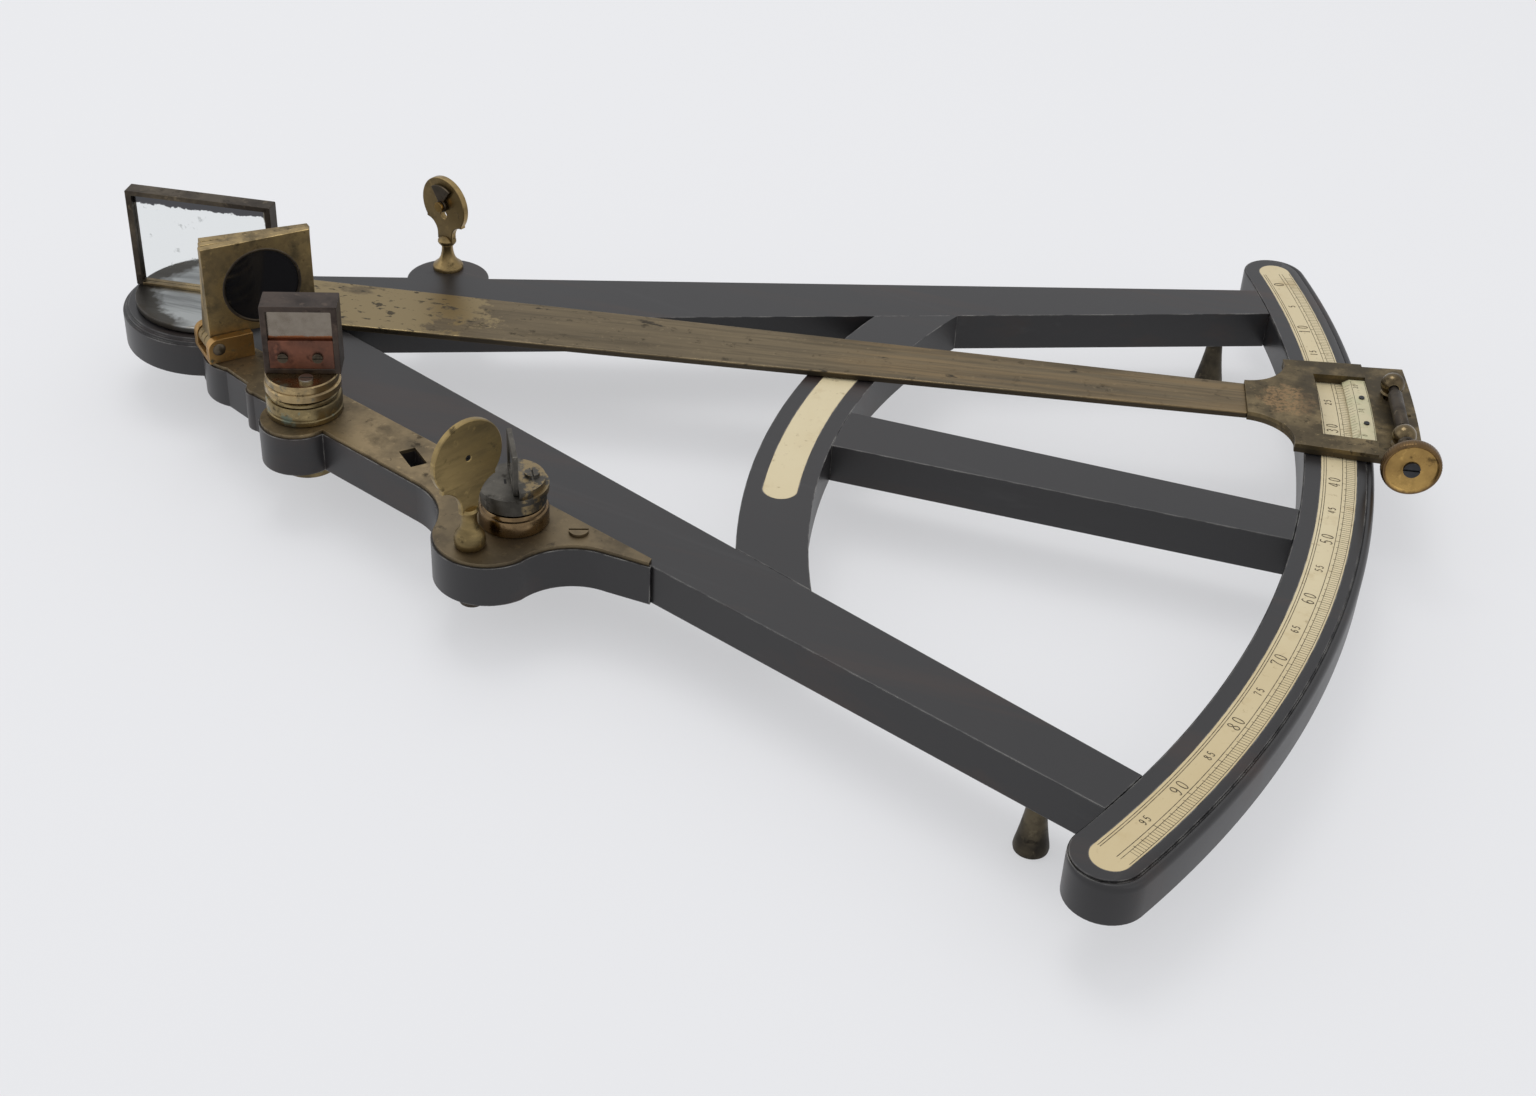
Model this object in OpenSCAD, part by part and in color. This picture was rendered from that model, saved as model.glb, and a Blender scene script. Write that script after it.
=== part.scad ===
// Octant: an ebony sector frame with a swinging brass index arm, sights, mirrors and shades.
// Millimetres. The origin is on the arm's pivot axis at floor level, X runs to the arc, Z is up.

/* [Frame] */
// Height of the feet below the frame
foot_h = 18.5; // [14:0.5:24]
// Thickness of the ebony frame
frame_t = 13; // [10:0.5:16]
// Radius of the round apex
apex_r = 30.5; // [27:0.5:34]
// Distance from the pivot to the joint of apex and limbs
joint_x = 18.8; // [14:0.2:20]
// Distance from the pivot to the fork of the limbs
fork_x = 40.5; // [36:0.5:46]
// Slope of the inner edges of the limbs
limb_in_slope = 0.4357; // [0.43:0.0005:0.44]
// Half width of the outer edges of the limbs at the pivot
limb_out_y0 = 16.9; // [16:0.1:18]
// Slope of the outer edges of the limbs
limb_out_slope = 0.388; // [0.385:0.0005:0.392]
// Inner radius of the arc
arc_in_r = 362; // [350:1:380]
// Width of the arc
arc_w = 22; // [18:0.5:26]
// Half angle of the arc between the centres of its round ends
arc_half_deg = 25.7; // [25.2:0.1:26.2]
// Distance from the pivot to the centre of the brace's curve
brace_cx = 446; // [440:1:452]
// Inner radius of the brace's curve
brace_in_r = 226; // [215:1:236]
// Width of the brace
brace_w = 21; // [18:0.5:24]
// Half width of the centre strut at the brace
strut_hw_in = 10.6; // [9:0.2:12]
// Half width of the centre strut at the arc
strut_hw_out = 8.6; // [7:0.2:10]
// Distance along the frame from the arc's inner edge back to the far foot
far_foot_back = 40.4; // [36:0.2:56]
// Distance of the far foot outside the middle of its limb
far_foot_out = -2.4; // [-4:0.1:4]
// Distance along the frame from the arc's inner edge back to the near foot
near_foot_back = 48.7; // [40:0.1:60]
// Distance of the near foot outside the middle of its limb
near_foot_out = 3.2; // [-4:0.1:4]
// Radius of a foot at the floor
foot_r_bottom = 4.9; // [4:0.1:6]
// Radius of a foot at the frame
foot_r_top = 2.5; // [2:0.1:3.5]

/* [Ivory] */
// Distance from the arc's inner edge to the ivory scale
scale_inset = 5.4; // [4:0.1:6]
// Width of the ivory scale
scale_w = 10.9; // [9:0.1:11.5]
// Thickness of the ivory
ivory_t = 1.2; // [0.8:0.1:2]
// Width of the plaque in the brace
plaque_w = 10.5; // [8:0.5:13]
// Half length of the plaque
plaque_half = 40; // [30:1:46]

/* [Near cheek] */
// Width of the cheek outside the near limb
cheek_w = 18.4; // [16:0.2:20]
// Rounded corner at the near end of the cheek's straight edge, along the frame
step_x = 43.2; // [41:0.2:45]
// Radius of that rounded corner
step_r = 5; // [3:0.25:6]
// Far end of the cheek
cheek_x1 = 191; // [186:0.5:196]
// Shade lobe centre along the frame
lobe1_x = 28; // [27:0.5:29]
// Shade lobe centre across the frame
lobe1_y = -27.5; // [-29:0.5:-26]
// Shade lobe radius
lobe1_r = 14.6; // [14:0.2:16]
// Distance from the fore stand's axis out to the fore lobe's centre
lobe2_drop = 5; // [4:0.1:6]
// Fore lobe radius
lobe2_r = 11.9; // [11.4:0.1:13]
// Back lobe radius
lobe3_r = 16.6; // [15:0.1:18]
// Distance from the back stand's axis out to the back lobe's centre
lobe3_drop = 8.8; // [8:0.1:11]
// Distance from the back stand's axis toward the pivot to the back lobe's centre
lobe3_back = 4.1; // [2:0.1:6]
// End of the cheek's straight edge, where the hollow before the back lobe starts
lead_x = 112; // [108:0.5:116]
// Radius of the hollow before the back lobe
lead_r = 22.5; // [20:0.25:24]
// Distance along the frame from the back lobe's centre to the centre of the hollow behind it
tail_dx = 31.7; // [30:0.1:34]
// Distance from the back lobe's centre out to the centre of the hollow behind it
tail_dy = 15.3; // [14:0.1:17]
// Radius of the hollow behind the back lobe
tail_r = 18.9; // [17:0.1:20]
// Overlap of the cheek's blank behind the near limb's edge
cheek_lap = 2.5; // [1:0.5:4]
// Thickness of the brass mirror plate
plate_t = 1.2; // [0.8:0.1:2]
// Margin of ebony around the brass mirror plate
plate_inset = 0.6; // [0.4:0.1:1.5]
// Width of the mirror plate's overlap on the near limb
plate_lap = 1.6; // [1:0.1:2]
// Position of the plate screw along the frame
plate_screw_x = 166.3; // [160:0.5:172]
// Position of the plate screw across the frame
plate_screw_y = -84.7; // [-86:0.2:-83]
// Radius of the plate screw's head
plate_screw_r = 2.9; // [1.8:0.1:3.2]
// Position of the spare socket along the frame
spare_x = 105.3; // [98:0.1:112]
// Position of the spare socket across the frame
spare_y = -66.8; // [-68:0.2:-65]

/* [Pivot] */
// Radius of the pivot shaft
shaft_r = 4; // [3:0.25:5]
// Wall of the pivot bush
bush_wall = 1.5; // [1:0.1:2.5]
// Radius of the bush's flange under the arm
bush_flange_r = 12; // [9:0.5:16]
// Height of the bush's flange, which lifts the arm off the deck
arm_gap = 0.4; // [0.3:0.1:0.8]
// Radius of the nut under the pivot
pivot_nut_r = 7; // [6:0.25:8]
// Radius of the washer under the pivot
pivot_washer_r = 9; // [8:0.25:9.5]
// Outer radius of the hollow apex foot
cap_r = 13; // [12:0.25:16]
// Wall of the hollow apex foot
cap_wall = 2.5; // [2:0.25:3]
// Radius of the apex foot's sole
cap_sole_r = 7; // [5:0.25:10]
// Height of the apex foot's sole
cap_sole_h = 5; // [3:0.25:6]

/* [Index arm] */
// Direction of the arm at rest
arm_rest = 10.75; // [10.5:0.05:11]
// Thickness of the arm
arm_t = 2.1; // [1.6:0.1:3]
// Radius of the arm's round head
arm_head_r = 26; // [24:0.5:27]
// Half width of the arm at the head
arm_hw0 = 14.6; // [13:0.2:14.8]
// Half width of the arm at the end frame
arm_hw1 = 9.35; // [8:0.2:10]
// Length of the neck between the arm and the end frame
neck_len = 14.7; // [12:0.1:18]
// Reach of the end frame inside the arc's inner edge
end_lead = 3.3; // [2:0.1:5]
// Rim of the end frame outside the tangent screw
end_rim = 7; // [6:0.25:9]
// Half angle of the end frame
end_half = 4.25; // [4.1:0.05:4.5]
// Thickness of the end frame's side bars
end_t = 3; // [2.4:0.1:4]
// Distance from the arc's inner edge to the reading window
window_inset = 5.5; // [4:0.1:7]
// Half angle of the reading window
window_half = 2.95; // [2.7:0.05:3.1]
// Radius of the hollow shoulders of the neck
shoulder_r = 14.8; // [13:0.2:15]
// Overlap of the vernier on the scale
vernier_lap = 0.9; // [0.5:0.1:1.5]
// Width of the vernier
vernier_w = 7.2; // [6.5:0.1:8]
// Thickness of the vernier
vernier_t = 1.8; // [1.4:0.1:2]
// Half angle between the vernier's pins
vernier_pin_deg = 1.2; // [0.9:0.1:1.6]
// Radius of a vernier pin
vernier_pin_r = 0.9; // [0.6:0.1:1.2]

/* [Tangent screw and clamp] */
// Distance from the vernier to the tangent screw's axis
tan_gap = 6.9; // [6.5:0.1:8]
// Height of the tangent screw above the deck
tan_z = 6.3; // [6:0.1:7]
// Radius of the tangent rod
rod_r = 2.2; // [1.8:0.1:2.4]
// Radius of the ball bearings
ball_r = 3.8; // [3.5:0.1:4.2]
// Offset of the clamp's ball bearing from the arm's axis
far_ball_off = 12; // [11:0.25:17]
// Offset of the arm's ball bearing from the arm's axis
near_ball_off = 20; // [16:0.25:22]
// Offset of the knob's inner face from the arm's axis
knob_off = 36; // [33:0.5:40]
// Radius of the knob
knob_r = 9.25; // [8:0.25:9.5]
// Thickness of the knob
knob_t = 4; // [3:0.25:5]
// Radius of the knob's screw
knob_screw_r = 2.6; // [2:0.1:3]
// Distance from the arc's inner edge to the clamp plate
clamp_inset = 2; // [1:0.25:4]
// Rim of the clamp plate outside the tangent screw
clamp_rim = 3.5; // [3:0.25:5]
// Half angle of the clamp plate
clamp_half = 1.65; // [1.5:0.05:2.4]
// Angle from the arm's axis to the middle of the clamp plate
clamp_turn = 1.6; // [1.4:0.05:2.2]
// Thickness of the clamp plate
clamp_t = 3; // [2:0.25:4]
// Radius of the clamp screw
clamp_screw_r = 2.5; // [2:0.1:3]
// Radius of the clamp screw's head
clamp_head_r = 5.5; // [5:0.25:9]
// Height of the clamp screw's head
clamp_head_h = 4; // [3:0.25:5]
// Travel of the clamp either way along the arc
clamp_travel = 2.4; // [1.5:0.1:3]

/* [Index mirror] */
// Direction of the index mirror at rest
mirror_dir = 7.9; // [7.5:0.1:8.3]
// Length of the mirror frame before the pivot
mirror_s0 = 26.5; // [24:0.25:26.8]
// Length of the mirror frame behind the pivot
mirror_s1 = 23.3; // [21:0.25:25]
// Top of the mirror frame above the deck
mirror_top = 37; // [33:0.5:40]
// Depth of the mirror frame
mirror_depth = 5.4; // [5:0.1:9]
// Width of the mirror frame's posts
mirror_post = 2; // [1.6:0.1:3]
// Height of the mirror frame's top bar
mirror_bar = 1.6; // [1.2:0.1:5]
// Thickness of the mirror glass
glass_t = 2; // [1.5:0.1:2.5]
// Thickness of the mirror's back plate
back_t = 1.4; // [1:0.1:1.8]
// Length of the foot bracket behind the mirror
bracket_len = 13; // [10:0.5:15]
// Half width of the foot bracket
bracket_hw = 11; // [8:0.5:12]

/* [Horizon stands] */
// Fore stand axis along the frame
fore_x = 62.5; // [62:0.1:63]
// Fore stand axis across the frame
fore_y = -54; // [-54.6:0.1:-53.6]
// Direction of the fore mirror
fore_dir = 21.5; // [21:0.1:22]
// Radius of the fore drum
fore_drum_r = 11.7; // [11:0.1:12.4]
// Radius of the fore table
fore_table_r = 11.7; // [11:0.1:13]
// Length of the fore mirror frame before its axis
fore_s0 = 10.8; // [10:0.1:11]
// Length of the fore mirror frame behind its axis
fore_s1 = 12.2; // [11:0.1:14.4]
// Height of the fore drum above the deck
fore_drum_top = 8.6; // [8:0.1:9.5]
// Height of the fore table
fore_table_h = 5.4; // [4:0.1:6]
// Distance from the fore stand's axis to the front of its mirror frame
fore_lead = 2.5; // [1.5:0.1:3.2]
// Depth of the fore mirror frame
fore_depth = 9.6; // [8:0.2:10]
// Top of the fore mirror frame above the deck
fore_top = 38.1; // [36:0.1:40]
// Radius of the fore stand's nut under the frame
fore_nut_r = 8.7; // [7:0.1:9.5]
// Back stand axis along the frame
back_x = 146.5; // [145:0.1:147.5]
// Back stand axis across the frame
back_y = -85.4; // [-86.6:0.1:-84.6]
// Direction of the back mirror
back_dir = 120; // [118:0.5:124]
// Radius of the back drum
back_drum_r = 10.2; // [9.6:0.1:11]
// Radius of the back table
back_table_r = 9.6; // [9:0.1:10.2]
// Radius of the back table's top disc
back_top_r = 10.3; // [9.8:0.1:11]
// Length of the back mirror frame toward the near edge
back_s0 = 7.5; // [6.5:0.1:8]
// Length of the back mirror frame away from the near edge
back_s1 = 8.5; // [7.5:0.1:9.5]
// Thickness of the back mirror frame
back_depth = 1.6; // [1.4:0.1:2.4]
// Thickness of the back mirror's glass
back_glass_t = 0.8; // [0.6:0.1:1.2]
// Top of the back mirror frame above the deck
back_top = 27; // [25:0.25:30]
// Radius of the shafts of the horizon stands
stand_shaft_r = 3; // [2.5:0.1:3.5]
// Height of the back drum above the deck
drum_top = 7.5; // [6.5:0.1:8]
// Wall of the mirror frames
stand_wall = 1.8; // [1.4:0.1:2.2]

/* [Sights] */
// Near sight along the frame
near_x = 140.2; // [139.6:0.1:141]
// Near sight across the frame
near_y = -102; // [-103:0.1:-101]
// Direction of the near sight's disc
near_dir = 62; // [58:0.5:68]
// Radius of the near sight's disc
near_disc_r = 11.8; // [11:0.1:12.4]
// Height of the near sight's disc above the deck
near_disc_z = 30.9; // [30:0.1:33]
// Thickness of the near sight's disc
near_disc_t = 2; // [1.6:0.1:2.4]
// Height of the near sight's neck above the deck
near_neck_z = 13.5; // [12:0.1:15]
// Half width of the near sight's neck under its disc
near_neck_hw = 3; // [2.6:0.1:3.6]
// Radius of the hollow shoulders under the near sight's disc
near_hollow_r = 7.5; // [6:0.1:8]
// Radius of the near sight's post
near_post_r = 2.3; // [1.9:0.1:2.6]
// Radius of the near sight's ball base
near_ball_r = 4.6; // [4:0.1:5]
// Far sight along the frame
far_x = 62.3; // [62:0.1:62.6]
// Far sight across the frame
far_y = 49.8; // [49.6:0.1:50.4]
// Direction of the far sight's disc
far_dir = -20; // [-24:1:-16]
// Radius of the far sight's disc
far_disc_r = 9.9; // [9.4:0.1:11]
// Height of the far sight's disc above the deck
far_disc_z = 24.1; // [23:0.1:26]
// Thickness of the far sight's disc
far_disc_t = 2.2; // [1.8:0.1:2.6]
// Height of the far sight's hole above the deck
far_hole_z = 20.4; // [19.6:0.1:21]
// Height of the far sight's bead above the deck
far_bead_z = 9.4; // [8.5:0.1:10]
// Height of the far sight's bead itself
far_bead_h = 1.8; // [1.2:0.1:2.4]
// Height of the foot of the far sight's post
far_foot_h = 6.5; // [5:0.25:8]
// Half width of the far sight's neck under its disc
far_neck_hw = 3.4; // [2.8:0.1:4]
// Radius of the hollow shoulders under the far sight's disc
far_hollow_r = 4.6; // [3.8:0.1:5]
// Far lobe centre along the frame
far_lobe_x = 65.7; // [65:0.1:66.4]
// Far lobe centre across the frame
far_lobe_y = 42.3; // [41.6:0.1:43]
// Far lobe radius
far_lobe_r = 14; // [13.6:0.1:15]
// Radius of the shutter's fan
shutter_r = 7.5; // [6.5:0.1:8]
// Half angle of the shutter's fan
shutter_half = 34; // [28:1:40]

/* [Shades] */
// Front shade plane's point along the frame
shade_x = 26.5; // [26:0.1:27]
// Front shade plane's point across the frame
shade_y = -32.5; // [-33:0.1:-32]
// Direction of the shades
shade_dir = 48; // [47:0.5:49]
// Length of a shade before the plane's point
shade_s0 = 8; // [7.5:0.1:8.5]
// Length of a shade behind the plane's point
shade_s1 = 27.5; // [26:0.25:28.5]
// Lean of each shade against the one before it
shade_lean = 1.8; // [0:0.1:3]
// Bottom of a shade above the deck
shade_z0 = 8.7; // [8.5:0.1:9.5]
// Top of a shade above the deck
shade_z1 = 39.8; // [38:0.2:42]
// Thickness of a shade
shade_t = 2.6; // [2.2:0.1:2.7]
// Gap between shades
shade_gap = 0.4; // [0.3:0.05:0.5]
// Radius of the shade glass
shade_glass_r = 12.2; // [11:0.1:12.6]
// Height of the shade glass above the deck
shade_glass_z = 23.6; // [23:0.1:24.2]
// Thickness of the shade glass
shade_glass_t = 1.6; // [1:0.1:2]
// Position of the shade pin along the shades
pin_s = -6.4; // [-6.6:0.1:-6]
// Height of the shade pin above the deck
pin_z = 6; // [5.8:0.1:6.4]
// Radius of the shade pin
pin_r = 1.2; // [1:0.05:1.4]
// Radius of the shade lugs around the pin
lug_r = 3; // [2.6:0.1:3]
// Thickness of the bracket's cheeks
fork_t = 3; // [2:0.1:3.2]
// Width of the sockets along the shades
socket_w = 4.6; // [4:0.1:5]
// Length of the sockets across the shades
socket_len = 8.4; // [7:0.1:9]
// Width of the spare socket
spare_w = 5.2; // [4:0.1:5.6]
// Length of the spare socket
spare_len = 9.6; // [7:0.1:10]

/* [Hidden] */
$fn = 64;
deck = foot_h + frame_t;
fit = 0.03;
slip = 0.05;
run = 0.3;
eps = 1;
end_swell = 1.015;
ebony = [0.09, 0.085, 0.08];
ivory = [0.88, 0.82, 0.66];
brass = [0.55, 0.45, 0.26];
dark_brass = [0.33, 0.28, 0.2];
steel = [0.3, 0.3, 0.3];
glass = [0.7, 0.75, 0.76];
amber = [0.25, 0.1, 0.06];
arm_z = deck + arm_gap;
arm_top = arm_z + arm_t;
arc_out_r = arc_in_r + arc_w;
arc_mid_r = (arc_in_r + arc_out_r) / 2;
scale_in_r = arc_in_r + scale_inset;
scale_out_r = scale_in_r + scale_w;
scale_mid_r = (scale_in_r + scale_out_r) / 2;
brace_out_r = brace_in_r + brace_w;
brace_mid_r = (brace_in_r + brace_out_r) / 2;
plaque_deg = plaque_half / brace_mid_r * 180 / PI;
far = 1000;
end_in_r = arc_in_r - end_lead;
neck_r = end_in_r - neck_len;
window_r = arc_in_r + window_inset;
vernier_r = scale_out_r - vernier_lap;
vernier_out_r = vernier_r + vernier_w;
tan_r = vernier_out_r + tan_gap;
end_out_r = tan_r + end_rim;
clamp_in_r = arc_in_r + clamp_inset;
clamp_out_r = tan_r + clamp_rim;
creep_deg = clamp_travel / tan_r * 180 / PI;
creep_play = far_ball_off * sin(creep_deg) + run;
lobe3_x = back_x - lobe3_back;
lobe3_y = back_y - lobe3_drop;
plate_top = deck + plate_t;
shade_pitch = shade_t + shade_gap;
shade_stack = 3 * shade_t + 2 * shade_gap;
fork_front = run;
fork_back = -shade_stack - run;
base_t = pin_z - lug_r - run - plate_t;
shank_s = -5;
shank_n = -4;
shank_h = 9;
stud_r = 2;
clamp_top = foot_h - arm_gap;
clamp_z = clamp_top - clamp_t;
wall_gap = 1;
wall_t = 3;
slot_w = 2 * (rod_r + run);
slot_half = clamp_travel + run;
end_bar_top = arm_z + arm_t;
cap_in_r = cap_r - cap_wall;
table_z = deck + drum_top + 1;
fore_table_z = deck + fore_drum_top + 1;
limb_turn = atan(limb_out_slope);

function limb_out(x) = limb_out_y0 + limb_out_slope * x;
function limb_in(x) = limb_in_slope * (x - fork_x);

function limb_mid(x) = (limb_in(x) + limb_out(x)) / 2;

far_foot_x = arc_in_r - far_foot_back;
near_foot_x = arc_in_r - near_foot_back;

// A flat ring sector about the pivot, centred on the X axis.
module sector(r0, r1, half, z0, h) {
  reach = 2 * r1;
  intersection() {
    difference() {
      translate([0, 0, z0])
        cylinder(r = r1, h = h);
      translate([0, 0, z0 - eps])
        cylinder(r = r0, h = h + 2 * eps);
    }
    translate([0, 0, z0])
      linear_extrude(h)
        polygon([[0, 0], [reach * cos(half), -reach * sin(half)], [reach * cos(half), reach * sin(half)]]);
  }
}

// A ring sector with round ends.
module round_sector(r0, r1, half, z0, h) {
  w = r1 - r0;
  end_deg = w / r0 * 180 / PI;
  difference() {
    sector(r0, r1, half + end_deg, z0, h);
    for (side = [-1, 1])
      rotate([0, 0, side * half])
        difference() {
          translate([r0 - w, side < 0 ? -3 * w : 0, z0 - eps])
            cube([3 * w, 3 * w, h + 2 * eps]);
          translate([(r0 + r1) / 2, 0, z0 - 2 * eps])
            rotate([0, 0, -side * 90])
              cylinder(r = w / 2 * end_swell, h = h + 4 * eps);
        }
  }
}

// A slotted screw head that stands along Z from the origin.
module slotted(r, h) {
  difference() {
    cylinder(r = r, h = h);
    translate([-r - eps, -r / 8, h / 2])
      cube([2 * r + 2 * eps, r / 4, h]);
  }
}

module limb_blank() {
  intersection() {
    translate([0, 0, foot_h])
      linear_extrude(frame_t)
        polygon([[joint_x, 0], [fork_x, 0], [arc_in_r, limb_in(arc_in_r)],
          [arc_in_r, limb_out(arc_in_r)], [joint_x, limb_out(joint_x)]]);
    cylinder(r = arc_in_r, h = far);
  }
}

module apex_block() {
  step = 1;
  color(ebony)
    difference() {
      intersection() {
        union() {
          translate([0, 0, foot_h])
            cylinder(r = apex_r, h = frame_t - 2 * step);
          translate([0, 0, deck - 2 * step])
            cylinder(r = apex_r - step, h = step);
          translate([0, 0, deck - step])
            cylinder(r = apex_r - 2 * step, h = step);
        }
        translate([joint_x - far, -far / 2, 0])
          cube(far);
      }
      translate([0, 0, foot_h - eps])
        cylinder(r = shaft_r + fit + bush_wall, h = frame_t + 2 * eps);
    }
}

module far_limb() {
  color(ebony)
    difference() {
      union() {
        limb_blank();
        translate([far_lobe_x, far_lobe_y, foot_h])
          cylinder(r = far_lobe_r, h = frame_t);
      }
      translate([0, 0, foot_h - eps])
        linear_extrude(frame_t + 2 * eps)
          polygon([[fork_x, 0], [arc_in_r, limb_in(arc_in_r)], [arc_in_r, 0]]);
      translate([far_x, far_y, foot_h - eps])
        cylinder(r = stud_r, h = frame_t + 2 * eps);
    }
}

module near_limb() {
  color(ebony)
    mirror([0, 1, 0])
      limb_blank();
}

module arc_limb() {
  color(ebony)
    difference() {
      round_sector(arc_in_r, arc_out_r, arc_half_deg, foot_h, frame_t);
      round_sector(scale_in_r, scale_out_r, arc_half_deg, deck - ivory_t, ivory_t + eps);
    }
}

module plaque_shape(h) {
  translate([brace_cx, 0, 0])
    rotate([0, 0, 180])
      round_sector(brace_mid_r - plaque_w / 2, brace_mid_r + plaque_w / 2, plaque_deg, deck - ivory_t, h);
}

module brace() {
  color(ebony)
    difference() {
      intersection() {
        translate([brace_cx, 0, foot_h])
          difference() {
            cylinder(r = brace_out_r, h = frame_t);
            translate([0, 0, -eps])
              cylinder(r = brace_in_r, h = frame_t + 2 * eps);
          }
        translate([0, 0, foot_h])
          linear_extrude(frame_t)
            polygon([[fork_x, 0], [arc_in_r, limb_in(arc_in_r)], [arc_in_r, -limb_in(arc_in_r)]]);
      }
      plaque_shape(ivory_t + eps);
    }
}

module centre_strut() {
  strut_x0 = brace_cx - brace_in_r - eps;
  color(ebony)
    intersection() {
      translate([0, 0, foot_h])
        linear_extrude(frame_t)
          polygon([[strut_x0, -strut_hw_in], [strut_x0, strut_hw_in],
            [arc_in_r, strut_hw_out], [arc_in_r, -strut_hw_out]]);
      cylinder(r = arc_in_r, h = far);
      translate([brace_cx, 0, 0])
        cylinder(r = brace_in_r, h = far);
    }
}

// The lobed outline of the cheek, drawn in by an inset.
module cheek_plan(inset, z0, h) {
  w = cheek_w - inset / cos(limb_turn);
  tip = 1;
  corner = step_r - inset;
  lobe3 = lobe3_r - inset;
  lobe3_in = 190;
  lobe3_out = -30;
  step_y = -limb_out(step_x) - cheek_w + step_r;
  lead_cx = lead_x - lead_r * sin(limb_turn);
  lead_cy = -limb_out(lead_x) - cheek_w - lead_r * cos(limb_turn);
  tail_cx = lobe3_x + tail_dx;
  tail_cy = lobe3_y - tail_dy;
  difference() {
    union() {
      translate([lobe1_x, lobe1_y, z0])
        cylinder(r = lobe1_r - inset, h = h);
      translate([fore_x, fore_y - lobe2_drop, z0])
        cylinder(r = lobe2_r - inset, h = h);
      translate([lobe3_x, lobe3_y, z0])
        cylinder(r = lobe3, h = h);
      translate([step_x, step_y, z0])
        cylinder(r = corner, h = h);
      translate([0, 0, z0])
        linear_extrude(h)
          polygon([[lobe1_x, lobe1_y], [lobe1_x, lobe1_y - lobe1_r + inset],
            [step_x - corner, step_y], [step_x, step_y - corner],
            [lead_x, -limb_out(lead_x) - w],
            [lobe3_x + lobe3 * cos(lobe3_in), lobe3_y + lobe3 * sin(lobe3_in)],
            [lobe3_x + lobe3 * cos(lobe3_out), lobe3_y + lobe3 * sin(lobe3_out)],
            [tail_cx, tail_cy + tail_r + inset],
            [cheek_x1 - inset, -limb_out(cheek_x1) - tip + inset],
            [cheek_x1 - inset, -limb_out(cheek_x1) + cheek_lap],
            [lobe1_x, -limb_out(lobe1_x) + cheek_lap]]);
    }
    translate([lead_cx, lead_cy, z0 - eps])
      cylinder(r = lead_r + inset, h = h + 2 * eps);
    translate([tail_cx, tail_cy, z0 - eps])
      cylinder(r = tail_r + inset, h = h + 2 * eps);
  }
}

// Everything on the pivot's side of the near limb's outer edge, moved in by a lap.
module limb_side(lap, z0, h) {
  translate([0, 0, z0])
    linear_extrude(h)
      polygon([[-apex_r, -limb_out(-apex_r) + lap], [arc_in_r, -limb_out(arc_in_r) + lap],
        [arc_in_r, arc_in_r], [-apex_r, arc_in_r]]);
}

// An oblong block turned with the shades.
module socket_block(x, y, w, len, z0, h) {
  translate([x, y, z0])
    rotate([0, 0, shade_dir])
      translate([-w / 2, -len / 2, 0])
        cube([w, len, h]);
}

function shade_pt(s, n) = [shade_x + s * cos(shade_dir) + n * sin(shade_dir),
  shade_y + s * sin(shade_dir) - n * cos(shade_dir)];

module cheek_holes(z0, h) {
  shank = shade_pt(shank_s, shank_n);
  translate([fore_x, fore_y, z0])
    cylinder(r = stand_shaft_r + run, h = h);
  translate([back_x, back_y, z0])
    cylinder(r = stand_shaft_r + run, h = h);
  translate([near_x, near_y, z0])
    cylinder(r = stud_r, h = h);
  socket_block(shank[0], shank[1], socket_w, socket_len, z0, h);
  socket_block(spare_x, spare_y, spare_w, spare_len, z0, h);
}

module near_cheek() {
  color(ebony)
    difference() {
      cheek_plan(0, foot_h, frame_t);
      limb_side(0, foot_h - eps, frame_t + 2 * eps);
      cylinder(r = apex_r, h = far);
      cheek_holes(foot_h - eps, frame_t + 2 * eps);
    }
}

module ivory_scale() {
  color(ivory)
    round_sector(scale_in_r, scale_out_r, arc_half_deg, deck - ivory_t, ivory_t);
}

module brace_plaque() {
  color(ivory)
    plaque_shape(ivory_t);
}

module mirror_plate() {
  color(brass)
    difference() {
      cheek_plan(plate_inset, deck, plate_t);
      limb_side(plate_lap, deck - eps, plate_t + 2 * eps);
      cylinder(r = apex_r + run, h = far);
      cheek_holes(deck - eps, plate_t + 2 * eps);
    }
}

module plate_screw() {
  color(steel)
    translate([plate_screw_x, plate_screw_y, plate_top])
      rotate([0, 0, fore_dir])
        slotted(plate_screw_r, 1);
}

module pivot_bush() {
  color(brass)
    difference() {
      union() {
        translate([0, 0, foot_h])
          cylinder(r = shaft_r + fit + bush_wall, h = frame_t);
        translate([0, 0, deck])
          cylinder(r = bush_flange_r, h = arm_gap);
      }
      translate([0, 0, foot_h - eps])
        cylinder(r = shaft_r + fit, h = frame_t + arm_gap + 2 * eps);
    }
}

module apex_foot() {
  color(brass)
    difference() {
      union() {
        cylinder(r = cap_sole_r, h = cap_sole_h);
        translate([0, 0, cap_sole_h])
          cylinder(r = cap_r, h = foot_h - cap_sole_h);
      }
      translate([0, 0, cap_sole_h + cap_wall])
        cylinder(r = cap_in_r, h = foot_h);
    }
}

module taper_foot(x, y) {
  color(brass)
    translate([x, y, 0])
      cylinder(r1 = foot_r_bottom, r2 = foot_r_top, h = foot_h);
}

module far_foot() {
  taper_foot(far_foot_x, limb_mid(far_foot_x) + far_foot_out);
}

module near_foot() {
  taper_foot(near_foot_x, -limb_mid(near_foot_x) - near_foot_out);
}

module drum(x, y, r, top) {
  step = 1;
  color(brass)
    difference() {
      translate([x, y, plate_top]) {
        cylinder(r = r, h = top - plate_t - step);
        cylinder(r = r - step, h = top - plate_t);
      }
      translate([x, y, plate_top - eps])
        cylinder(r = stand_shaft_r + fit, h = far);
    }
}

module fore_drum() {
  drum(fore_x, fore_y, fore_drum_r, fore_drum_top);
}

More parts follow.
